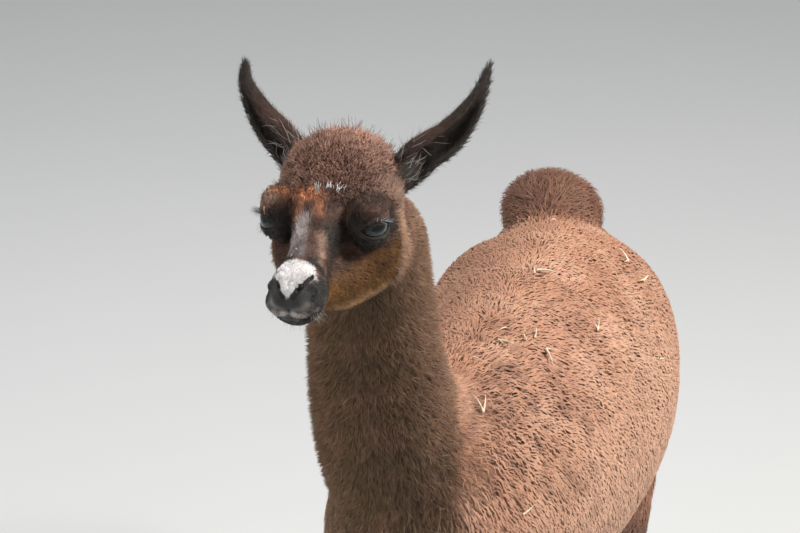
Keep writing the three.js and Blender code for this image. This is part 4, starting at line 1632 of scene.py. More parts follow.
@dataclass
class Skin:
    """One closed skin over the whole animal, finest at the eyes, nose, lips and ears."""

    finish: SkinFinish = SkinFinish("llama skin")
    cell: float = 0.0095
    low: Point = (-0.26, -0.66, -0.03)
    high: Point = (0.26, 0.56, 1.27)
    body_edge: float = 0.0095
    leg_edge: float = 0.0065
    foot_edge: float = 0.0038
    head_edge: float = 0.0036
    face_edge: float = 0.0014
    lid_edge: float = 0.0011
    seam_edge: float = 0.00085
    leg_top: float = 0.4
    foot_top: float = 0.095
    ear_steps: int = 7
    ear_points: int = 17
    muzzle: Point = (0.104, 0.008, -0.042)
    muzzle_size: Point = (0.034, 0.034, 0.036)
    leather: Point = (0.114, 0.009, -0.04)

    def edge(self, p: Array) -> Array:
        """Gives the longest edge wanted.

        Args:
            p: points.

        Returns:
            One length for each point.
        """
        size = np.where(p[:, 2] < self.leg_top, self.leg_edge, self.body_edge)
        size = np.where(p[:, 2] < self.foot_top, self.foot_edge, size)
        q = HEAD.local(p)
        m = folded(q)
        reach = norms(q / np.array([0.15, 0.09, 0.11]))
        size = np.where(reach < 1.15, self.head_edge, size)
        muzzle = norms((m - np.array(self.muzzle)) / np.array(self.muzzle_size))
        size = np.where(muzzle < 1, self.face_edge, np.where(muzzle < 1.4, self.face_edge * 1.7, size))
        seam = np.where(muzzle < 1.6, np.minimum(FORM.nostril(m), FORM.mouth(m)), 1.0)
        size = np.where(seam < 0.0035, self.seam_edge, size)
        eye = norms(m - np.array(EYE.centre))
        return np.where(eye < 0.0235, self.lid_edge, np.where(eye < 0.031, self.face_edge * 1.6, size))

    def body(self) -> tuple[Array, Array]:
        """Meshes the skin without its ears, and refines it where detail is finest.

        Returns:
            Vertices and triangles.
        """
        verts, quads = polygonise(FORM.skin, self.low, self.high, self.cell)
        first = norms(verts[quads[:, 0]] - verts[quads[:, 2]])
        second = norms(verts[quads[:, 1]] - verts[quads[:, 3]])
        one = quads[first <= second]
        two = quads[first > second]
        tris = np.concatenate([one[:, [0, 1, 2]], one[:, [0, 2, 3]], two[:, [0, 1, 3]], two[:, [1, 2, 3]]])
        verts = project(FORM.skin, verts, 2, 0.006)
        for _ in range(4):
            before = len(verts)
            verts, tris = split_long(verts, tris, self.edge)
            fine = (self.edge(verts) < self.body_edge * 0.9) | (np.arange(len(verts)) >= before)
            verts[fine] = project(FORM.skin, verts[fine], 1, 0.0025)
            verts = relax(verts, tris, 3, 0.5, fine.astype(float))
        fine = self.edge(verts) < self.head_edge * 1.1
        for _ in range(3):
            verts[fine] = project(FORM.skin, verts[fine], 2, 0.0006)
            verts = relax(verts, tris, 2, 0.35, fine.astype(float))
        verts = project(FORM.skin, verts, 1, 0.0008)
        return verts, tris

    def ear(self, side: int) -> tuple[Array, Array]:
        """Lofts one ear and closes both its ends.

        Args:
            side: 1 for left, -1 for right.

        Returns:
            Vertices and triangles.
        """
        rings = FORM.ear_rings(side, FORM.ear_depth, self.ear_steps, self.ear_points)
        count, width = rings.shape[:2]
        verts = HEAD.world(rings.reshape(-1, 3))
        i, j = np.meshgrid(np.arange(count - 1), np.arange(width), indexing="ij")
        a, b = i * width + j, i * width + (j + 1) % width
        walls = ((a, b, b + width), (a, b + width, a + width))
        ends = []
        for base, flip in ((0, True), ((count - 1) * width, False)):
            for k in range(width // 2 - 1):
                quad = (base + k, base + k + 1, base + width - 2 - k, base + width - 1 - k)
                quad = quad[::-1] if flip else quad
                ends += [quad[:3], (quad[0], quad[2], quad[3])]
        tris = np.concatenate([*(np.stack(t, -1).reshape(-1, 3) for t in walls), np.array(ends)])
        return verts, facing_out(verts, tris)

    def joined(self, verts: Array, tris: Array) -> tuple[Array, Array]:
        """Joins the ears to the head as one closed mesh.

        Args:
            verts: vertices of the skin without its ears.
            tris: its triangles.

        Returns:
            Vertices and triangles of the whole skin.
        """
        plain = bpy.data.materials.new("joining")
        base = mesh_piece("joining head", verts, tris, plain)
        ears = [mesh_piece("joining ear", *self.ear(side), plain) for side in SIDES]
        for ear in ears:
            step = base.modifiers.new("ear", "BOOLEAN")
            step.operation, step.solver, step.object = "UNION", "MANIFOLD", ear
        mesh = bpy.data.meshes.new_from_object(base.evaluated_get(bpy.context.evaluated_depsgraph_get()))
        mesh.calc_loop_triangles()
        out = np.empty(len(mesh.vertices) * 3, np.float32)
        mesh.vertices.foreach_get("co", out)
        corners = np.empty(len(mesh.loop_triangles) * 3, np.int32)
        mesh.loop_triangles.foreach_get("vertices", corners)
        for piece in (base, *ears):
            bpy.data.objects.remove(piece)
        bpy.data.meshes.remove(mesh)
        bpy.data.materials.remove(plain)
        return out.reshape(-1, 3).astype(float) - SHIFT, corners.reshape(-1, 3).astype(np.int64)

    def ear_sides(self, verts: Array) -> Array:
        """Marks which vertices are on which ear.

        Args:
            verts: vertices of the whole skin.

        Returns:
            1 on the left ear, -1 on the right one, 0 elsewhere.
        """
        q = HEAD.local(verts)
        near = norms(q) < 0.26
        sides = np.zeros(len(verts), int)
        off_head = np.zeros(len(verts), bool)
        off_head[near] = FORM.head(q[near]) + FORM.head_depth(q[near]) > 0.0012
        for side in SIDES:
            s = catmull(FORM.ears[side], 6)
            at = np.flatnonzero(off_head & (q[:, 1] * side > 0.02) & (q[:, 2] > 0.0) & (q[:, 0] < -0.03))
            gap = np.linalg.norm(q[at][:, None] - s[None, :, :3], axis=2) - s[None, :, 3] * 1.15
            sides[at[gap.min(1) < 0]] = side
        return sides

    def surface(self) -> Surface:
        """Makes the whole skin and softens the crease where each ear joins.

        Returns:
            The skin.
        """
        verts, tris = self.body()
        LOG.info("skin without ears: %d triangles", len(tris))
        verts, tris = self.joined(verts, tris)
        ears = self.ear_sides(verts)
        edges, _ = edges_of(tris)
        crease = np.zeros(len(verts))
        crease[edges[(ears[edges[:, 0]] == 0) != (ears[edges[:, 1]] == 0)].ravel()] = 1.0
        for _ in range(3):
            spread = np.maximum(crease[edges[:, 0]], crease[edges[:, 1]]) * 0.8
            np.maximum.at(crease, edges[:, 0], spread)
            np.maximum.at(crease, edges[:, 1], spread)
        crease[HEAD.local(verts)[:, 2] < -0.02] = 0.0
        verts = relax(verts, tris, 6, 0.5, crease, flat=False)
        return Surface(verts, tris, vertex_normals(verts, tris), ears)

    def zones(self, surface: Surface) -> Array:
        """Marks where the skin is under wool, where it is bare leather, and where it lines lids and slits.

        Args:
            surface: the skin.

        Returns:
            Three shares for each vertex.
        """
        p = surface.verts
        d = FORM.distances(p)
        q = HEAD.local(p)
        m = folded(q)
        wool = ease(0.02, -0.01, np.minimum(d[:, 0], d[:, 3]) + 0.01) * ease(0.0, 0.02, d[:, 1])
        bare = ease(0.017, 0.011, norms(m - np.array(self.leather)))
        lips = ease(0.0065, 0.0035, bone(m, (0.117, 0.0, -0.0575), (0.096, 0.025, -0.055), 0.0, 0.0))
        r = norms(m - np.array(EYE.centre))
        lid = ease(EYE.radius + 0.0024, EYE.radius + 0.0012, r)
        # the nostril and mouth slits take the lid's near-black: painted shade inside them
        seam = ease(0.0014, 0.0002, np.minimum(FORM.nostril(m) - 0.001, FORM.mouth(m)))
        lid = np.maximum(lid, seam)
        return np.stack([wool, np.maximum(bare, lips), lid], 1)

    def build(self) -> Surface:
        """Makes the skin's object, painted and fitted.

        Returns:
            The skin, for the coat to grow on.
        """
        surface = self.surface()
        piece = mesh_piece("skin", surface.verts, surface.tris, self.finish.build())
        paint(piece, "coat_colour", MARKINGS.colour(surface.verts, surface.ears))
        paint(piece, "zone", self.zones(surface))
        nodes = ["trunk", "neck", "tail", "head", "ear_left", "ear_right"]
        for place in ("front_left", "front_right", "back_left", "back_right"):
            nodes += [f"leg_upper_{place}", f"leg_lower_{place}", f"foot_{place}"]
        fit(piece, "body_wool", *nodes)
        return surface


# ---- coat


class Lay(Enum):
    """How a tuft lies: flat along the skin, rolled into crimped ridges, or curled any way."""

    FLAT = "flat"
    CRIMP = "crimp"
    CURL = "curl"


@dataclass(frozen=True)
class CoatStyle:
    """How the hair of one part of the body grows."""

    name: str
    slot: str
    finish: CoatFinish
    lay: Lay
    count: int
    rings: int
    length: float
    width: float
    reach: float = 0.95
    sway: float = 0.0008
    hug: float = 8.0
    clump: float = 0.01
    tress: float = 0.12
    gather: float = 0.3
    flat: float = 0.55
    tint: Colour = (1.0, 1.0, 1.0)
    tint_share: float = 0.0
    scatter: float = 0.25
    full_depth: float = 0.003
    soft: float = 0.9


@dataclass
class Roots:
    """Where a style's tufts grow, and which way."""

    place: Array
    normal: Array
    lie: Array
    depth: Array
    colour: Array
    part: Array


class Flow:
    """The lie of the coat and its depth, anywhere on the skin."""

    blend = 0.01

    def weights(self, p: Array, ears: Array) -> Array:
        """Shares each point among trunk, neck, head, tail, the four legs and the two ears.

        Args:
            p: points on the skin.
            ears: which ear each point is on.

        Returns:
            One column for each part.
        """
        weight = nearness(FORM.distances(p), self.blend)
        weight[:, 4:] *= ease(0.6, 0.5, p[:, 2])[:, None]
        weight = np.concatenate([weight, np.zeros((len(p), 2))], 1)
        for side in SIDES:
            weight[ears == side] = np.eye(len(Part))[EARS[side].value]
        return weight / weight.sum(1, keepdims=True)

    def lie(self, p: Array, n: Array, weight: Array, ears: Array) -> Array:
        """Gives the way the hair lies, along the skin.

        Args:
            p: points on the skin.
            n: the skin's normals.
            weight: each part's share.
            ears: which ear each point is on.

        Returns:
            Directions of length one.
        """
        q = HEAD.local(p)
        side = np.tanh((p[:, 0] - 0.015) / 0.05)
        ones = np.ones(len(p))
        top = ease(0.1, 0.8, n[:, 2])
        swirl = 0.9 * ripple(p, 0.07, 4.2) * top
        trunk = np.stack([(side * 0.55 + swirl) * top, 0.45 + 0.5 * top, -1.0 * ones], 1)
        neck = np.stack([0 * ones, 0.36 * ones, -1.0 * ones], 1)
        tail = np.stack([0 * ones, 0.9 * ease(0.47, 0.4, p[:, 1]), -ones], 1)
        leg = np.stack([0 * ones, 0.12 * ones, -ones], 1)
        rise = 0.75 * ease(0.0, 0.03, q[:, 2]) - 0.85 * ease(0.005, -0.03, q[:, 2])
        spread = 0.35 * np.tanh(q[:, 1] / 0.02)
        head = np.stack([-ones, spread, rise], 1) @ HEAD.axes()
        total = (weight[:, 0:1] * trunk + weight[:, 1:2] * neck + weight[:, 2:3] * head
                 + weight[:, 3:4] * tail + weight[:, 4:8].sum(1, keepdims=True) * leg)
        for way in SIDES:
            mine = ears == way
            if mine.any():
                s = catmull(FORM.ears[way], 4)
                at = nearest(q[mine], s)
                total[mine] = unit(np.gradient(s[:, :3], axis=0))[at] @ HEAD.axes()
        total = total - n * (total * n).sum(1, keepdims=True)
        return unit(total)

    def depth(self, p: Array, ears: Array) -> Array:
        """Gives the coat's depth over the skin.

        Args:
            p: points on the skin.
            ears: which ear each point is on.

        Returns:
            One depth for each point.
        """
        d = FORM.distances(p)
        share = np.where(d[:, 2] < 0.05, ease(0.012, -0.012, d[:, 2] - d[:, 1]), 0.0)
        depth = FORM.depth(p, d) * (1 - share) + FORM.head_depth(HEAD.local(p)) * share
        return np.where(ears != 0, FORM.ear_depth, depth)


FLOW = Flow()


class Unwrap:
    """Unrolls each part of the skin round its own axis, each part in its own tile."""

    tiles = {
        Part.TRUNK: (0.0, 0.0, 0.6, 0.42), Part.NECK: (0.0, 0.43, 0.42, 0.32),
        Part.HEAD: (0.43, 0.43, 0.56, 0.32), Part.TAIL: (0.61, 0.0, 0.2, 0.2),
        Part.FORE_LEFT: (0.61, 0.21, 0.09, 0.21), Part.FORE_RIGHT: (0.71, 0.21, 0.09, 0.21),
        Part.HIND_LEFT: (0.81, 0.21, 0.09, 0.21), Part.HIND_RIGHT: (0.91, 0.21, 0.08, 0.21),
        Part.EAR_LEFT: (0.0, 0.76, 0.3, 0.22), Part.EAR_RIGHT: (0.31, 0.76, 0.3, 0.22)}

    def places(self, p: Array, part: Array) -> Array:
        """Gives each point's place on the unwrap.

        Args:
            p: points on the skin.
            part: the number of each point's part.

        Returns:
            One u, v row for each point.
        """
        q = HEAD.local(p)
        out = np.zeros((len(p), 2))
        for piece, (left, bottom, width, height) in self.tiles.items():
            mine = part == piece.value
            if not mine.any():
                continue
            a, b = p[mine], q[mine]
            if piece in (Part.TRUNK, Part.TAIL):
                middle = 0.63 if piece is Part.TRUNK else 0.74
                turn, along = np.arctan2(a[:, 0] - 0.01, middle - a[:, 2]), a[:, 1]
            elif piece is Part.HEAD:
                turn, along = np.arctan2(b[:, 1], -0.01 - b[:, 2]), b[:, 0]
            elif piece in (Part.EAR_LEFT, Part.EAR_RIGHT):
                side = 1 if piece is Part.EAR_LEFT else -1
                s = catmull(FORM.ears[side], 4)
                at = nearest(b, s)
                rel = b - s[at, :3]
                turn, along = np.arctan2(rel[:, 0], rel[:, 2] - rel[:, 1] * side), at + 0.0
            else:
                rows = FORM.neck if piece is Part.NECK else FORM.leg(piece)
                order = np.argsort(rows[:, 2])
                cx = np.interp(a[:, 2], rows[order, 2], rows[order, 0])
                cy = np.interp(a[:, 2], rows[order, 2], rows[order, 1])
                turn, along = np.arctan2(a[:, 0] - cx, a[:, 1] - cy), a[:, 2]
            span = max(along.max() - along.min(), 1e-6)
            out[mine, 0] = left + width * (turn / (2 * math.pi) + 0.5)
            out[mine, 1] = bottom + height * (along - along.min()) / span
        return out


UNWRAP = Unwrap()


@dataclass
class Coat:
    """All the tufts, locks and fine hairs, in pieces of a size that stays whole on export."""

    surface: Surface
    patch: float = 0.0015
    most: int = 190_000
    crimp: float = 0.0185
    floor_gap: float = 0.0008
    seed: int = SEED
    total: int = 0
    weight: Array = field(init=False)
    middle: Array = field(init=False)

    def __post_init__(self) -> None:
        """Works out each triangle's middle and its share of each part once."""
        self.middle = self.surface.verts[self.surface.tris].mean(1)
        self.weight = FLOW.weights(self.middle, self.tri_ears())

    def tri_ears(self) -> Array:
        """Gives the ear each triangle is on."""
        corners = self.surface.ears[self.surface.tris]
        return np.where((corners != 0).all(1), corners[:, 0], 0)

    def roots(self, style: CoatStyle, density: Array, rng: Chance) -> Roots:
        """Picks where a style's tufts grow.

        Args:
            style: the style.
            density: how closely they grow on each triangle.
            rng: the source of chance.

        Returns:
            The roots, with all that shaping them needs.
        """
        verts, tris = self.surface.verts, self.surface.tris
        a, b, c = (verts[tris[:, i]] for i in range(3))
        area = norms(np.cross(b - a, c - a)) / 2
        share = np.cumsum(area * density)
        picks = (np.arange(style.count) + rng.random(style.count)) / style.count * share[-1]
        at = np.minimum(np.searchsorted(share, picks), len(tris) - 1)
        u, v = rng.random((2, style.count))
        flip = u + v > 1
        u[flip], v[flip] = 1 - u[flip], 1 - v[flip]
        u, v = u[:, None], v[:, None]
        place = a[at] * (1 - u - v) + b[at] * u + c[at] * v
        normals = self.surface.normals[tris[at]]
        normal = unit(normals[:, 0] * (1 - u - v) + normals[:, 1] * u + normals[:, 2] * v)
        ears = self.tri_ears()[at]
        weight = self.weight[at]
        lie = FLOW.lie(place, normal, weight, ears)
        turn = rng.normal(0, style.scatter, style.count)[:, None]
        lie = unit(lie * np.cos(turn) + np.cross(normal, lie) * np.sin(turn))
        colour = MARKINGS.colour(place, ears)
        if style.tint_share:
            colour = colour * (1 - style.tint_share) + np.array(style.tint) * style.tint_share
        return Roots(place, normal, lie, FLOW.depth(place, ears), colour, weight.argmax(1))

    def clumps(self, roots: Roots, style: CoatStyle, rng: Chance) -> tuple[Array, Array]:
        """Gathers tufts into locks.

        Args:
            roots: the style's roots.
            style: the style.
            rng: the source of chance.

        Returns:
            The root that each tuft's lock gathers to, and a value of chance for each lock.
        """
        count = len(roots.place)
        group = max(int(count * style.tress), 1)
        chosen = rng.choice(count, group, replace=False)
        tree = KDTree(group)
        for i, root in enumerate(chosen):
            tree.insert(roots.place[root], i)
        tree.balance()
        nearest = np.array([tree.find(p)[1] for p in roots.place])
        return chosen[nearest], rng.random(group)[nearest]

    def crimped(self, roots: Roots, chance: Array, own: Array, length: Array,
                rise: Array) -> tuple[Array, Array, Array]:
        """Rolls tufts over the ridges of crimped wool, and lays them smoother low on the flanks.

        Args:
            roots: the roots.
            chance: one value for each lock.
            own: five values for each tuft.
            length: each tuft's length.
            rise: how far each tuft stands off the skin.

        Returns:
            How far each station has gone, how high it is, and how light it is: painted highlight on the
            crests, painted shade at the roots and in the creases.
        """
        place = roots.place
        s = place @ np.array([0.0, 0.4, -0.92])
        s = s + 0.9 * np.abs(place[:, 0]) * ease(0.3, 0.95, roots.normal[:, 2])
        wander = 1.05 * ripple(place, 0.075, 0.7) + 0.5 * ripple(place, 0.027, 2.2)
        phase = (s / self.crimp + wander + 0.14 * chance + 0.1 * (own[2] - 0.5)) % 1.0
        wave = self.crimp * (0.85 + 0.5 * own[3] + 0.35 * chance)
        crest = (1.35 - phase) * self.crimp
        keep = ease(0.6, 0.74, place[:, 2] + 0.05 * ripple(place, 0.13, 1.9))[:, None]
        dip = 0.36 * wave * (0.35 + 0.65 * ease(-0.6, 0.5, ripple(place, 0.1, 3.1)))
        start = -0.002 + 0 * rise
        # light values: painted shade at the root, a painted highlight on the crest, and painted shade where
        # the tip dips into the crease
        rolled = (np.stack([0 * crest, crest * 0.72, crest + 0.66 * wave], 1),
                  np.stack([start, rise * 0.94, rise - dip], 1), np.array([[0.1, 0.85, 0.35]]))
        smooth = (np.stack([0 * length, 0.36 * length, 1.15 * length], 1),
                  np.stack([start, rise * 0.86, rise * (0.8 + 0.25 * own[3])], 1),
                  np.array([[0.2, 0.6, 1.0]]))
        return tuple(a * keep + b * (1 - keep) for a, b in zip(rolled, smooth))

    def shape(self, style: CoatStyle, roots: Roots, leader: Array, chance: Array,
              rng: Chance) -> tuple[Array, Array]:
        """Runs each tuft's middle line.

        Args:
            style: the style.
            roots: the roots.
            leader: the root each lock gathers to.
            chance: one value for each lock.
            rng: the source of chance.

        Returns:
            Points along each tuft from root to tip, and how light each is, from 0 to 1.
        """
        count = len(roots.place)
        own = rng.random((5, count))
        t = np.array({1: [0, 0.42, 1.0], 2: [0, 0.32, 0.7, 1.0]}[style.rings])
        length = style.length * (0.7 + 0.6 * own[0]) * np.clip(roots.depth / style.full_depth, 0.25, 1.1)
        lumps = 0.55 + 0.9 * chance if style.lay is Lay.CURL else 1.0
        rise = roots.depth * style.reach * (0.75 + 0.4 * own[1]) * lumps
        side = np.cross(roots.normal, roots.lie)
        light = np.broadcast_to(t, (count, len(t)))
        if style.lay is Lay.CRIMP:
            advance, height, light = self.crimped(roots, chance, own, length, rise)
        elif style.lay is Lay.CURL:
            advance = length[:, None] * np.array([0, 0.2, 0.5, 0.45])
            height = rise[:, None] * np.array([-0.3, 0.5, 0.92, 1.0])
        else:
            eased = t**1.2
            advance = np.sqrt(np.maximum(length**2 - rise**2, (0.3 * length) ** 2))[:, None] * eased
            height = rise[:, None] * (1 - (1 - t) ** 2) - 0.0008 * (1 - t)
        height = height - advance**2 / 2 * style.hug
        bow = np.sin(math.pi * t if style.rings == 1 else 2 * math.pi * t * 0.9)[None, :]
        sway = (own[4] - 0.5)[:, None] * 2 * style.sway * bow
        points = (roots.place[:, None] + roots.normal[:, None] * height[:, :, None]
                  + roots.lie[:, None] * advance[:, :, None] + side[:, None] * sway[:, :, None])
        if style.gather:
            pull = style.gather * t[None, :, None] ** 1.4
            toward = points[leader] - points
            gap = norms(roots.place[leader] - roots.place)
            pull = pull * ease(2.2 * style.clump, style.clump, gap)[:, None, None]
            toward -= roots.normal[:, None] * (toward * roots.normal[:, None]).sum(2, keepdims=True)
            points = points + toward * pull
        return points, light

    def solids(self, style: CoatStyle, roots: Roots, points: Array,
               rng: Chance) -> tuple[Array, Array, Array]:
        """Gives each tuft its thickness.

        Args:
            style: the style.
            roots: the roots.
            points: the tufts' middle lines.
            rng: the source of chance.

        Returns:
            Vertices by tuft, normals by tuft, and the triangles of one tuft.
        """
        count, rings = len(points), style.rings
        inner = points[:, 1:-1]
        tangent = unit(points[:, 2:] - points[:, :-2])
        normal = roots.normal[:, None] * np.ones((1, rings, 1))
        across = unit(np.cross(normal, tangent))
        out = np.cross(tangent, across)
        width = style.width * (0.7 + 0.6 * rng.random(count))[:, None, None] / 2
        width = width * np.array([1.0, 0.8][:rings])[None, :, None]
        verts, normals = [points[:, :1]], [roots.normal[:, None]]
        corner = []
        for k in range(3):
            angle = math.pi / 2 + k * 2 * math.pi / 3
            way = across * math.cos(angle) + out * (math.sin(angle) * style.flat)
            corner.append((inner + way * width, unit(normal * style.soft + unit(way) * 0.7)))
        for ring in range(rings):
            verts += [c[0][:, ring:ring + 1] for c in corner]
            normals += [c[1][:, ring:ring + 1] for c in corner]
        verts.append(points[:, -1:])
        normals.append(unit(normal[:, -1:] + 0.4 * tangent[:, -1:]))
        tris = []
        for k in range(3):
            after = (k + 1) % 3
            tris.append((0, 1 + after, 1 + k))
            for ring in range(rings - 1):
                a, b = 1 + 3 * ring + k, 1 + 3 * ring + after
                tris += [(a, b, b + 3), (a, b + 3, a + 3)]
            last = 1 + 3 * (rings - 1)
            tris.append((last + k, last + after, 3 * rings + 1))
        solid = np.concatenate(verts, 1)
        solid[..., 2] = np.maximum(solid[..., 2], self.floor_gap)
        return solid, np.concatenate(normals, 1), np.array(tris)

    def grow(self, style: CoatStyle, density: Array) -> None:
        """Grows one style where its density says, in as many pieces as it needs.

        Args:
            style: the style.
            density: how closely it grows on each triangle.
        """
        self.seed += 1
        rng = np.random.default_rng(self.seed)
        roots = self.roots(style, density, rng)
        leader, chance = self.clumps(roots, style, rng)
        points, light = self.shape(style, roots, leader, chance, rng)
        verts, normals, tris = self.solids(style, roots, points, rng)
        own = rng.random(len(verts))
        size = verts.shape[1]
        rings = style.rings
        row = np.array([0] + [r + 1 for r in range(rings) for _ in range(3)] + [rings + 1])
        turn = np.array([0.0] + [k - 1.0 for _ in range(rings) for k in range(3)] + [0.0])
        strand = np.stack([light[:, row], *(np.repeat(v[:, None], size, 1) for v in (own, chance))], 2)
        spot = UNWRAP.places(roots.place, roots.part)
        local = np.stack([turn, 2 * row / (rings + 1) - 1.0], 1) * self.patch
        uv = np.clip(spot[:, None] + local[None], 0.001, 0.999)
        material = style.finish.build()
        each = self.most // len(tris)
        pieces = math.ceil(len(verts) / each)
        order = np.lexsort((roots.place[:, 2],))
        for i, part in enumerate(np.array_split(order, pieces)):
            name = f"coat_{style.name}" + (f"_{i + 1}" if pieces > 1 else "")
            faces = (tris[None] + np.arange(len(part))[:, None, None] * size).reshape(-1, 3)
            piece = mesh_piece(name, verts[part].reshape(-1, 3), faces, material)
            paint(piece, "coat_colour", np.repeat(roots.colour[part], size, 0))
            paint(piece, "strand", strand[part].reshape(-1, 3))
            layer = piece.data.uv_layers.new(name="OFBake")
            layer.uv.foreach_set("vector", uv[part].reshape(-1, 2)[faces.ravel()].astype(np.float32).ravel())
            piece.data.normals_split_custom_set_from_vertices(normals[part].reshape(-1, 3).astype(np.float32))
            fit(piece, style.slot)
            self.total += len(faces)

    def cover(self, *parts: Part) -> Array:
        """Adds up the shares of some parts on each triangle."""
        return self.weight[:, [part.value for part in parts]].sum(1)

    def build(self) -> None:
        """Grows the whole coat, part by part."""
        q = HEAD.local(self.middle)
        m = folded(q)
        z = self.middle[:, 2]
        eye = norms(m - np.array(EYE.centre))
        inside = ease(EYE.radius + 0.0019, EYE.radius + 0.003, eye)
        nose = ease(0.011, 0.019, norms(m - np.array([0.114, 0.009, -0.038])))
        mouth = ease(0.004, 0.008, bone(m, (0.117, 0.0, -0.0575), (0.08, 0.028, -0.05), 0.0, 0.0))
        slits = ease(0.0012, 0.0032, FORM.nostril(m))
        face = self.cover(Part.HEAD) * inside * nose * mouth * slits
        crown = ease(0.026, 0.04, q[:, 2]) * ease(0.022, 0.004, q[:, 0])
        fine = ease(0.02, 0.08, q[:, 0])
        legs = self.cover(*LEGS)
        high = ease(0.36, 0.42, z)
        wool = CoatFinish("wool", root=0.84, tip=1.08, spread=0.14, warmth=0.03, mottle=0.16)
        brush = CoatFinish("tail wool", root=0.6, tip=1.15, spread=0.35)
        plush = CoatFinish("neck plush", root=0.7, tip=1.12, spread=0.34)
        nap = CoatFinish("crown nap", root=0.34, tip=1.35, spread=1.1, warmth=0.05, mottle=0.6)
        short = CoatFinish("face hair", root=0.7, tip=1.16, spread=0.5, mottle=0.3, roughness=0.65,
                           gloss=0.18)
        sleek = CoatFinish("leg hair", root=0.6, tip=1.1, spread=0.3, roughness=0.55)
        hairs = CoatFinish("guard hair", root=0.8, tip=1.1, spread=0.4, roughness=0.45)
        brow = ease(0.012, 0.004, bone(m, (-0.024, 0.054, 0.04), (-0.062, 0.066, 0.016), 0.0, 0.0))
        back = ease(0.016, 0.004, bone(m, (-0.06, 0.068, 0.006), (-0.038, 0.066, -0.06), 0.0, 0.0))
        ear = self.cover(Part.EAR_LEFT, Part.EAR_RIGHT)
        root = ease(0.115, 0.08, norms(q - np.array([-0.03, 0.0, 0.05])))
        neck, trunk = self.cover(Part.NECK), self.cover(Part.TRUNK)
        flecks = [np.exp(-(norms(q - np.array(spot)) / 0.0022) ** 2) for spot in WHITE_FLECKS]
        for style, density in (
            (CoatStyle("trunk", "body_wool", wool, Lay.CRIMP, 84000, 1, 0.023, 0.0026, gather=0.12,
                       sway=0.0014, hug=4.0, scatter=0.2, full_depth=0.0055, soft=2.2, flat=0.3),
             trunk + legs * high * 0.9),
            (CoatStyle("trunk_wisps", "body_wool", wool, Lay.FLAT, 8000, 1, 0.024, 0.0007, reach=1.1,
                       gather=0.0, sway=0.004, hug=2.0, scatter=0.7, full_depth=0.0055, soft=1.8),
             trunk + legs * high),
            (CoatStyle("tail", "neck_wool", brush, Lay.FLAT, 8000, 2, 0.026, 0.0013, gather=0.15,
                       sway=0.004, scatter=0.8, full_depth=0.018, soft=1.4), self.cover(Part.TAIL)),
            (CoatStyle("neck", "neck_wool", plush, Lay.FLAT, 44000, 1, 0.012, 0.001, gather=0.4,
                       sway=0.0014, hug=4.0, scatter=0.34, tress=0.07, full_depth=0.0105, soft=1.2), neck),
            (CoatStyle("crown", "face_coat", nap, Lay.CURL, 15000, 2, 0.008, 0.001, reach=1.1, gather=0.45,
                       sway=0.0024, scatter=1.5, clump=0.006, soft=0.6), face * crown),
            (CoatStyle("face", "face_coat", short, Lay.FLAT, 30000, 1, 0.0085, 0.0009, gather=0.35,
                       sway=0.0006, hug=10.0, scatter=0.26, clump=0.006, tress=0.06, soft=1.1),
             face * (1 - crown) * (1 + 1.2 * fine)),
            (CoatStyle("ears", "face_coat", short, Lay.FLAT, 9000, 1, 0.011, 0.001, gather=0.1, sway=0.001,
                       scatter=0.3, reach=1.1), ear),
            (CoatStyle("ear_fuzz", "face_coat", short, Lay.FLAT, 3600, 1, 0.009, 0.0004, reach=1.9,
                       gather=0.0, sway=0.001, scatter=0.8, hug=0.0), ear),
            (CoatStyle("ear_hairs", "face_coat", hairs, Lay.FLAT, 160, 2, 0.022, 0.0005, reach=2.6,
                       gather=0.0, sway=0.003, scatter=0.6, hug=0.0, tint=(0.5, 0.44, 0.4), tint_share=0.6),
             ear * root),
            (CoatStyle("brow_fringe", "face_coat", short, Lay.FLAT, 2400, 1, 0.013, 0.0007, reach=1.9,
                       sway=0.001, scatter=0.6, clump=0.004, tint=(0.46, 0.3, 0.23), tint_share=0.35),
             face * brow + face * back),
            (CoatStyle("legs", "leg_coat", sleek, Lay.FLAT, 11000, 1, 0.013, 0.0018, reach=0.7, gather=0.2,
                       hug=6.0, scatter=0.18), legs * (1 - high)),
            (CoatStyle("crown_fuzz", "face_coat", nap, Lay.CURL, 4000, 2, 0.008, 0.0006, reach=1.35,
                       gather=0.5, sway=0.003, scatter=1.5, clump=0.005, hug=0.0, soft=0.8), face * crown),
            (CoatStyle("crown_hairs", "face_coat", hairs, Lay.CURL, 800, 2, 0.013, 0.0005, reach=2.1,
                       gather=0.0, sway=0.002, scatter=1.4, hug=0.0, tint=(0.04, 0.026, 0.02),
                       tint_share=0.7), face * crown),
            (CoatStyle("neck_hairs", "neck_wool", hairs, Lay.FLAT, 700, 2, 0.02, 0.0005, reach=1.15,
                       gather=0.0, sway=0.004, scatter=0.5, full_depth=0.0105, tint=(0.4, 0.27, 0.21),
                       tint_share=0.6), neck * (0.12 + ease(0.02, 0.05, self.middle[:, 0]))),
            (CoatStyle("flecks", "face_coat", hairs, Lay.FLAT, 48, 2, 0.009, 0.0006, reach=1.9, sway=0.001,
                       scatter=0.4, hug=0.0, clump=0.004, tint=NOSE_WHITE, tint_share=1.0),
             sum(fleck / fleck.sum() for fleck in flecks)),
        ):
            self.grow(style, density)
        LOG.info("coat: %d triangles in all", self.total)


# ---- eyes, lashes, whiskers, straw


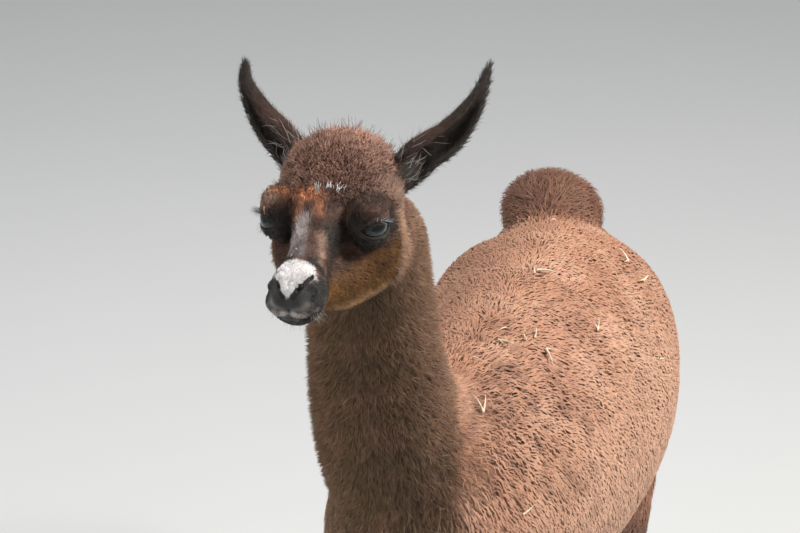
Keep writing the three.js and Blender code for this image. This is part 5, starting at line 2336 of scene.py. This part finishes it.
@dataclass
class Eyes:
    """Two wet eyeballs with the cornea's bulge, turned to look forward and out."""

    finish: EyeFinish = EyeFinish("eye")
    rings: int = 44
    turns: int = 64
    bulge: float = 0.045

    def build(self) -> None:
        """Makes both eyeballs."""
        material = self.finish.build()
        for side, word in ((1, "left"), (-1, "right")):
            gaze, inner, up = EYE.basis(side)
            polar = np.linspace(0, math.pi, self.rings + 1)[1:-1]
            turn = np.arange(self.turns) / self.turns * 2 * math.pi
            a, b = np.meshgrid(polar, turn, indexing="ij")
            across, height, out = np.sin(a) * np.cos(b), np.sin(a) * np.sin(b), np.cos(a)
            local = np.stack([out, across, height], -1).reshape(-1, 3)
            local = np.vstack([local, [[1, 0, 0], [-1, 0, 0]]])
            radius = EYE.radius * (1 + self.bulge * np.exp(-((1 - local[:, :1]) / 0.16) ** 2))
            world = HEAD.world(EYE.middle(side) + (local * radius) @ np.array([gaze, inner, up]))
            i, j = np.meshgrid(np.arange(len(polar) - 1), np.arange(self.turns), indexing="ij")
            k = (j + 1) % self.turns
            w = self.turns
            walls = ((i * w + j, (i + 1) * w + j, (i + 1) * w + k), (i * w + j, (i + 1) * w + k, i * w + k))
            j = np.arange(w)
            front, back, last = len(local) - 2, len(local) - 1, (len(polar) - 1) * w
            tris = np.concatenate([*(np.stack(t, -1).reshape(-1, 3) for t in walls),
                                   np.stack([np.full(w, front), j, (j + 1) % w], 1),
                                   np.stack([last + (j + 1) % w, last + j, np.full(w, back)], 1)])
            piece = mesh_piece(f"eyeball_{word}", world, facing_out(world, tris), material)
            angle = np.arctan2(local[:, 2], local[:, 1]) / (2 * math.pi) + 0.5
            paint(piece, "aim", np.stack([local[:, 1], local[:, 2], angle], 1))
            fit(piece, "eye", f"eye_{word}")


@dataclass(frozen=True)
class BristleTree:
    """A Geometry Nodes tree that grows one tapered, bent bristle from each point it is given."""

    name: str
    material: Material
    sides: int = 4
    steps: int = 6
    tip: float = 0.06

    def build(self) -> Tree:
        """Makes the tree.

        Returns:
            The tree. Its points carry an aim, the way the bristle bows, and a size in metres.
        """
        tree = bpy.data.node_groups.new(self.name, "GeometryNodeTree")
        tree.interface.new_socket("Geometry", in_out="INPUT", socket_type="NodeSocketGeometry")
        for title, value in (("Thickness", 0.03), ("Bend", 0.25), ("Uneven", 0.3)):
            socket = tree.interface.new_socket(title, in_out="INPUT", socket_type="NodeSocketFloat")
            socket.default_value = value
        seed = tree.interface.new_socket("Seed", in_out="INPUT", socket_type="NodeSocketInt")
        seed.default_value = SEED
        tree.interface.new_socket("Geometry", in_out="OUTPUT", socket_type="NodeSocketGeometry")
        n = Nodes(tree)
        given, out = n.add("NodeGroupInput"), n.add("NodeGroupOutput")
        middle = n.add("ShaderNodeCombineXYZ", {}, X=given.outputs["Bend"], Y=0.0, Z=0.5)
        line = n.add("GeometryNodeCurveQuadraticBezier", {}, Resolution=self.steps, Start=(0.0, 0.0, 0.0),
                     Middle=middle.outputs[0], End=(0.0, 0.0, 1.0))
        along = n.add("GeometryNodeSplineParameter").outputs["Factor"]
        taper = n.plus(n.times(n.minus(1.0, along), 1.0 - self.tip), self.tip)
        radius = n.times(taper, given.outputs["Thickness"])
        shaped = n.add("GeometryNodeSetCurveRadius", {}, Curve=line.outputs[0], Radius=radius)
        ring = n.add("GeometryNodeCurvePrimitiveCircle", {}, Resolution=self.sides, Radius=1.0)
        bristle = n.add("GeometryNodeCurveToMesh", {}, Curve=shaped.outputs[0],
                        Profile_Curve=ring.outputs[0], Fill_Caps=True)
        if "Scale" in bristle.inputs:
            n.fill(bristle, Scale=radius)
        aim, bow = (n.add("GeometryNodeInputNamedAttribute", {"data_type": "FLOAT_VECTOR"}, Name=name)
                    for name in ("aim", "bow"))
        size = n.add("GeometryNodeInputNamedAttribute", {"data_type": "FLOAT"}, Name="size")
        turned = n.add("FunctionNodeAxesToRotation", {"primary_axis": "Z", "secondary_axis": "X"},
                       Primary_Axis=aim.outputs[0], Secondary_Axis=bow.outputs[0])
        chance = n.add("FunctionNodeRandomValue", {"data_type": "FLOAT"}, Seed=given.outputs["Seed"],
                       _2=n.minus(1.0, given.outputs["Uneven"]), _3=1.0)
        placed = n.add("GeometryNodeInstanceOnPoints", {}, Points=given.outputs["Geometry"],
                       Instance=bristle.outputs[0], Rotation=turned.outputs[0],
                       Scale=n.times(size.outputs[0], chance.outputs[1]))
        real = n.add("GeometryNodeRealizeInstances", {}, Geometry=placed.outputs[0])
        dressed = n.add("GeometryNodeSetMaterial", {}, Geometry=real.outputs[0], Material=self.material)
        n.put(out.inputs[0], dressed.outputs[0])
        return tree


@dataclass
class Bristles:
    """Points that bristles grow from, each with its aim, the way it bows, and its size."""

    place: Array
    aim: Array
    bow: Array
    size: Array

    def grow(self, name: str, slot: str, finish: BristleFinish, **inputs: float) -> Piece:
        """Grows the bristles and keeps them as a plain mesh.

        Args:
            name: the piece's name.
            slot: its material slot.
            finish: its material.
            inputs: values for the tree's named inputs.

        Returns:
            The fitted piece.
        """
        material = finish.build()
        tree = BristleTree(f"{name} tree", material).build()
        mesh = bpy.data.meshes.new(f"{name} roots")
        mesh.from_pydata((self.place + SHIFT).tolist(), [], [])
        for title, kind, key, rows in (("aim", "FLOAT_VECTOR", "vector", self.aim),
                                       ("bow", "FLOAT_VECTOR", "vector", self.bow),
                                       ("size", "FLOAT", "value", self.size)):
            made = mesh.attributes.new(title, kind, "POINT")
            made.data.foreach_set(key, np.ascontiguousarray(rows, np.float32).ravel())
        holder = link(bpy.data.objects.new(f"{name} roots", mesh))
        step = holder.modifiers.new("bristles", "NODES")
        step.node_group = tree
        for socket in tree.interface.items_tree:
            if socket.in_out == "INPUT" and socket.name in inputs:
                step[socket.identifier] = inputs[socket.name]
        depsgraph = bpy.context.evaluated_depsgraph_get()
        made = bpy.data.meshes.new_from_object(holder.evaluated_get(depsgraph))
        bpy.data.objects.remove(holder)
        bpy.data.node_groups.remove(tree)
        made.name = name
        made.shade_smooth()
        piece = link(bpy.data.objects.new(name, made))
        return fit(piece, slot)


STRAW_SPOTS = (
    (0.052, -0.036, 0.806), (0.069, -0.035, 0.801), (0.081, -0.041, 0.792), (0.035, -0.067, 0.806),
    (0.021, -0.121, 0.807), (0.034, 0.091, 0.821), (0.119, 0.057, 0.779), (0.172, 0.145, 0.705),
    (0.062, -0.205, 0.779), (0.112, -0.171, 0.707), (0.11, -0.202, 0.678), (0.007, 0.281, 0.807),
    (0.1, 0.25, 0.79), (0.125, 0.235, 0.77), (-0.03, -0.515, 1.106), (-0.09, -0.456, 1.128))


def joined_rows(rows: Sequence[Bristles]) -> Bristles:
    """Joins several rows of bristles into one."""
    return Bristles(*(np.concatenate([getattr(row, key) for row in rows])
                      for key in ("place", "aim", "bow", "size")))


@dataclass
class Trimmings:
    """Lashes, whiskers, and the bits of straw caught in the wool."""

    surface: Surface
    lash: BristleFinish = BristleFinish("lash", (0.012, 0.01, 0.01), (0.034, 0.027, 0.024))
    # pale grey lashes: a painted highlight of light caught on the upper lashes
    lash_highlight: BristleFinish = BristleFinish("lash highlight", (0.7, 0.69, 0.68), (0.4, 0.38, 0.37))
    whisker: BristleFinish = BristleFinish("whisker", (0.62, 0.56, 0.48), (0.3, 0.25, 0.21))
    straw: BristleFinish = BristleFinish("straw", (0.86, 0.74, 0.56), (0.66, 0.52, 0.36), 0.7)
    whisker_count: int = 120

    def lash_row(self, side: int, upper: bool, count: int, ends: tuple[float, float], lift: float,
                 full: float, rng: Chance) -> Bristles:
        """Sets out one row of lashes along the edge of a lid.

        Args:
            side: 1 for the left eye, -1 for the right one.
            upper: whether the row is on the upper lid.
            count: how many lashes.
            ends: where the row starts and stops, as shares of the eye's half width.
            lift: how far from the lid's edge the row stands, as an angle.
            full: the length of the longest lash.
            rng: the source of chance.

        Returns:
            The row, ready to grow.
        """
        gaze, inner, up = EYE.basis(side)
        across = np.linspace(*ends, count) + rng.normal(0, 0.02, count)
        turn = across * EYE.half_width
        height = EYE.lid_line(across, upper) + lift * (1 if upper else -1)
        out = (gaze * (np.cos(turn) * np.cos(height))[:, None]
               + inner * (np.sin(turn) * np.cos(height))[:, None] + up * np.sin(height)[:, None])
        start = EYE.middle(side) + out * (EYE.radius + 0.0012)
        aim = unit(out + up * (-0.18 if upper else -0.55) + inner * (across * 0.55)[:, None]
                   + rng.normal(0, 0.26, (count, 3)))
        bow = np.tile((-up if upper else up) @ HEAD.axes(), (count, 1))
        size = full * (0.72 + 0.28 * np.cos(across * 1.6)) * (0.8 + 0.2 * rng.random(count))
        return Bristles(HEAD.world(start), aim @ HEAD.axes(), bow, size)

    def lashes(self) -> None:
        """Grows the lashes from the edges of the lids, a few of the upper ones pale grey as a painted
        highlight of light caught on them.
        """
        rng = np.random.default_rng(SEED)
        dark, pale = [], []
        for side in SIDES:
            for lift in (0.03, 0.09, 0.15):
                dark.append(self.lash_row(side, True, 40, (-0.95, 0.82), lift, 0.016, rng))
            dark.append(self.lash_row(side, False, 26, (-0.9, 0.75), 0.05, 0.011, rng))
            # a few upper lashes pale grey: a painted highlight of light caught on them
            pale.append(self.lash_row(side, True, 34, (-0.95, 0.1), 0.12, 0.0125, rng))
        joined_rows(dark).grow("lashes", "face_coat", self.lash, Thickness=0.011, Bend=0.16,
                               Uneven=0.35, Seed=SEED + 1)
        joined_rows(pale).grow("highlit_lashes", "face_coat", self.lash_highlight, Thickness=0.034, Bend=0.12,
                               Uneven=0.4, Seed=SEED + 4)

    def bits_of_straw(self) -> None:
        """Lays bits of straw on the wool, bent, as they were caught."""
        rng = np.random.default_rng(SEED + 5)
        spots = np.repeat(np.array(STRAW_SPOTS), 2, 0) + rng.normal(0, 0.005, (2 * len(STRAW_SPOTS), 3))
        keep = rng.random(len(spots)) < 0.8
        spots = spots[keep]
        gap = np.linalg.norm(self.surface.verts[None, ::3] - spots[:, None], axis=2).argmin(1) * 3
        place, normal = self.surface.verts[gap], self.surface.normals[gap]
        depth = FLOW.depth(place, np.zeros(len(place)))
        place = place + normal * (depth + 0.0006)[:, None]
        loose = rng.normal(0, 1, place.shape)
        aim = unit(unit(loose - normal * (loose * normal).sum(1, keepdims=True)) + normal * 0.1)
        size = np.where(HEAD.local(place)[:, 0] > -0.05, 0.45, 1.0) * (0.013 + 0.016 * rng.random(len(place)))
        Bristles(place, aim, normal, size).grow("straw", "body_wool", self.straw, Thickness=0.08, Bend=0.14,
                                                Uneven=0.3, Seed=SEED + 6)

    def on_skin(self, want: Array, count: int, rng: Chance) -> tuple[Array, Array]:
        """Picks vertices of the skin by weight, for their places and normals."""
        at = rng.choice(len(want), count, p=want / want.sum(), replace=False)
        return self.surface.verts[at], self.surface.normals[at]

    def whiskers(self) -> None:
        """Grows the pale whiskers of lips and chin."""
        rng = np.random.default_rng(SEED + 2)
        q = HEAD.local(self.surface.verts)
        m = folded(q)
        lips = bone(m, (0.106, 0.018, -0.048), (0.084, 0.028, -0.062), 0.0, 0.0)
        chin = bone(m, (0.106, 0.004, -0.07), (0.084, 0.012, -0.076), 0.0, 0.0)
        want = ease(0.01, 0.003, np.minimum(lips, chin))
        count = self.whisker_count
        place, normal = self.on_skin(want, count, rng)
        back = np.array([-0.35, 0.0, -0.75]) @ HEAD.axes()
        aim = unit(normal * 0.9 + back + rng.normal(0, 0.25, (count, 3)))
        size = 0.005 + 0.012 * rng.random(count) ** 2
        Bristles(place, aim, np.tile(back, (count, 1)), size).grow(
            "whiskers", "face_coat", self.whisker, Thickness=0.014, Bend=0.14, Uneven=0.3, Seed=SEED + 3)

    def build(self) -> None:
        """Makes all the trimmings."""
        self.lashes()
        self.whiskers()
        self.bits_of_straw()


# ---- nails and studio


@dataclass
class Nails:
    """The toenails, kept as packed, in horn."""

    finish: HornFinish = HornFinish("toenail horn")

    def dress(self) -> None:
        """Gives each nail its horn."""
        material = self.finish.build()
        for name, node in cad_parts.items():
            if name.startswith("nail_"):
                for slot in node.material_slots:
                    slot.material = material
        LOG.info("nails: dressed")


@dataclass
class Studio:
    """Pale floor, soft light, and the camera that looks a little down on the head and back."""

    azimuth: float = math.radians(20.0)
    elevation: float = math.radians(25.0)
    distance: float = 3.0
    lens: float = 131.0
    across: float = -0.078
    above: float = 0.04
    floor_half: float = 8.0
    sky_colour: Colour = (0.92, 0.96, 1.0)
    sky_strength: float = 0.42

    def camera(self) -> None:
        """Aims the camera so that the head stands left of the middle, and high."""
        a, e = self.azimuth, self.elevation
        forward = Vector((-math.sin(a) * math.cos(e), math.cos(a) * math.cos(e), -math.sin(e)))
        right = forward.cross(Vector((0, 0, 1))).normalized()
        up = right.cross(forward)
        target = Vector(HEAD.centre) + Vector(SHIFT)
        lens = bpy.data.cameras.new("camera")
        lens.lens, lens.sensor_width = self.lens, 36.0
        camera = link(bpy.data.objects.new("camera", lens))
        camera.location = target - forward * self.distance - right * self.across - up * self.above
        camera.rotation_mode = "QUATERNION"
        camera.rotation_quaternion = forward.to_track_quat("-Z", "Y")
        bpy.context.scene.camera = camera

    def lamp(self, name: str, place: Point, size: float, power: float, colour: Colour = (1, 1, 1),
             glint: bool = True) -> None:
        """Hangs a soft, round lamp that faces the animal's shoulders.

        Args:
            name: the lamp's name.
            place: where it hangs.
            size: how wide it is.
            power: in watts.
            colour: of its light.
            glint: whether it is seen in glossy surfaces.
        """
        light = bpy.data.lights.new(name, "AREA")
        light.shape, light.size, light.energy, light.color = "DISK", size, power, colour
        lamp = link(bpy.data.objects.new(name, light))
        lamp.location = place
        lamp.visible_glossy = glint
        lamp.rotation_mode = "QUATERNION"
        lamp.rotation_quaternion = (Vector((0, -0.1, 0.8)) - Vector(place)).to_track_quat("-Z", "Y")

    def build(self) -> None:
        """Sets up floor, lamps, backdrop light and camera."""
        corners = np.array([[-1, -1, 0], [1, -1, 0], [1, 1, 0], [-1, 1, 0]]) * self.floor_half
        floor = mesh_piece("floor", corners - SHIFT, np.array([[0, 1, 2, 3]]),
                           FloorFinish("studio floor").build())
        self.lamp("key", (2.0, 0.35, 2.8), 0.9, 106.0, (1.0, 0.97, 0.93))
        self.lamp("fill", (-1.4, -3.0, 2.2), 2.5, 46.0, (0.96, 0.98, 1.0), glint=False)
        self.lamp("rim", (-1.6, 0.6, 3.0), 1.6, 34.0)
        world = bpy.data.worlds.new("studio")
        world.use_nodes = True
        bpy.context.scene.world = world
        sky = world.node_tree.nodes["Background"]
        Nodes(world.node_tree).fill(sky, Color=self.sky_colour, Strength=self.sky_strength)
        bpy.context.scene.view_settings.view_transform = "Standard"
        self.camera()
        LOG.info("studio: ready")


def main() -> None:
    """Builds the llama from skin to whiskers, then the studio."""
    logging.basicConfig(level=logging.INFO, format="%(relativeCreated)d ms %(message)s")
    surface = Skin().build()
    Eyes().build()
    Coat(surface).build()
    Trimmings(surface).build()
    Nails().dress()
    Studio().build()


if __name__ == "__main__":
    main()
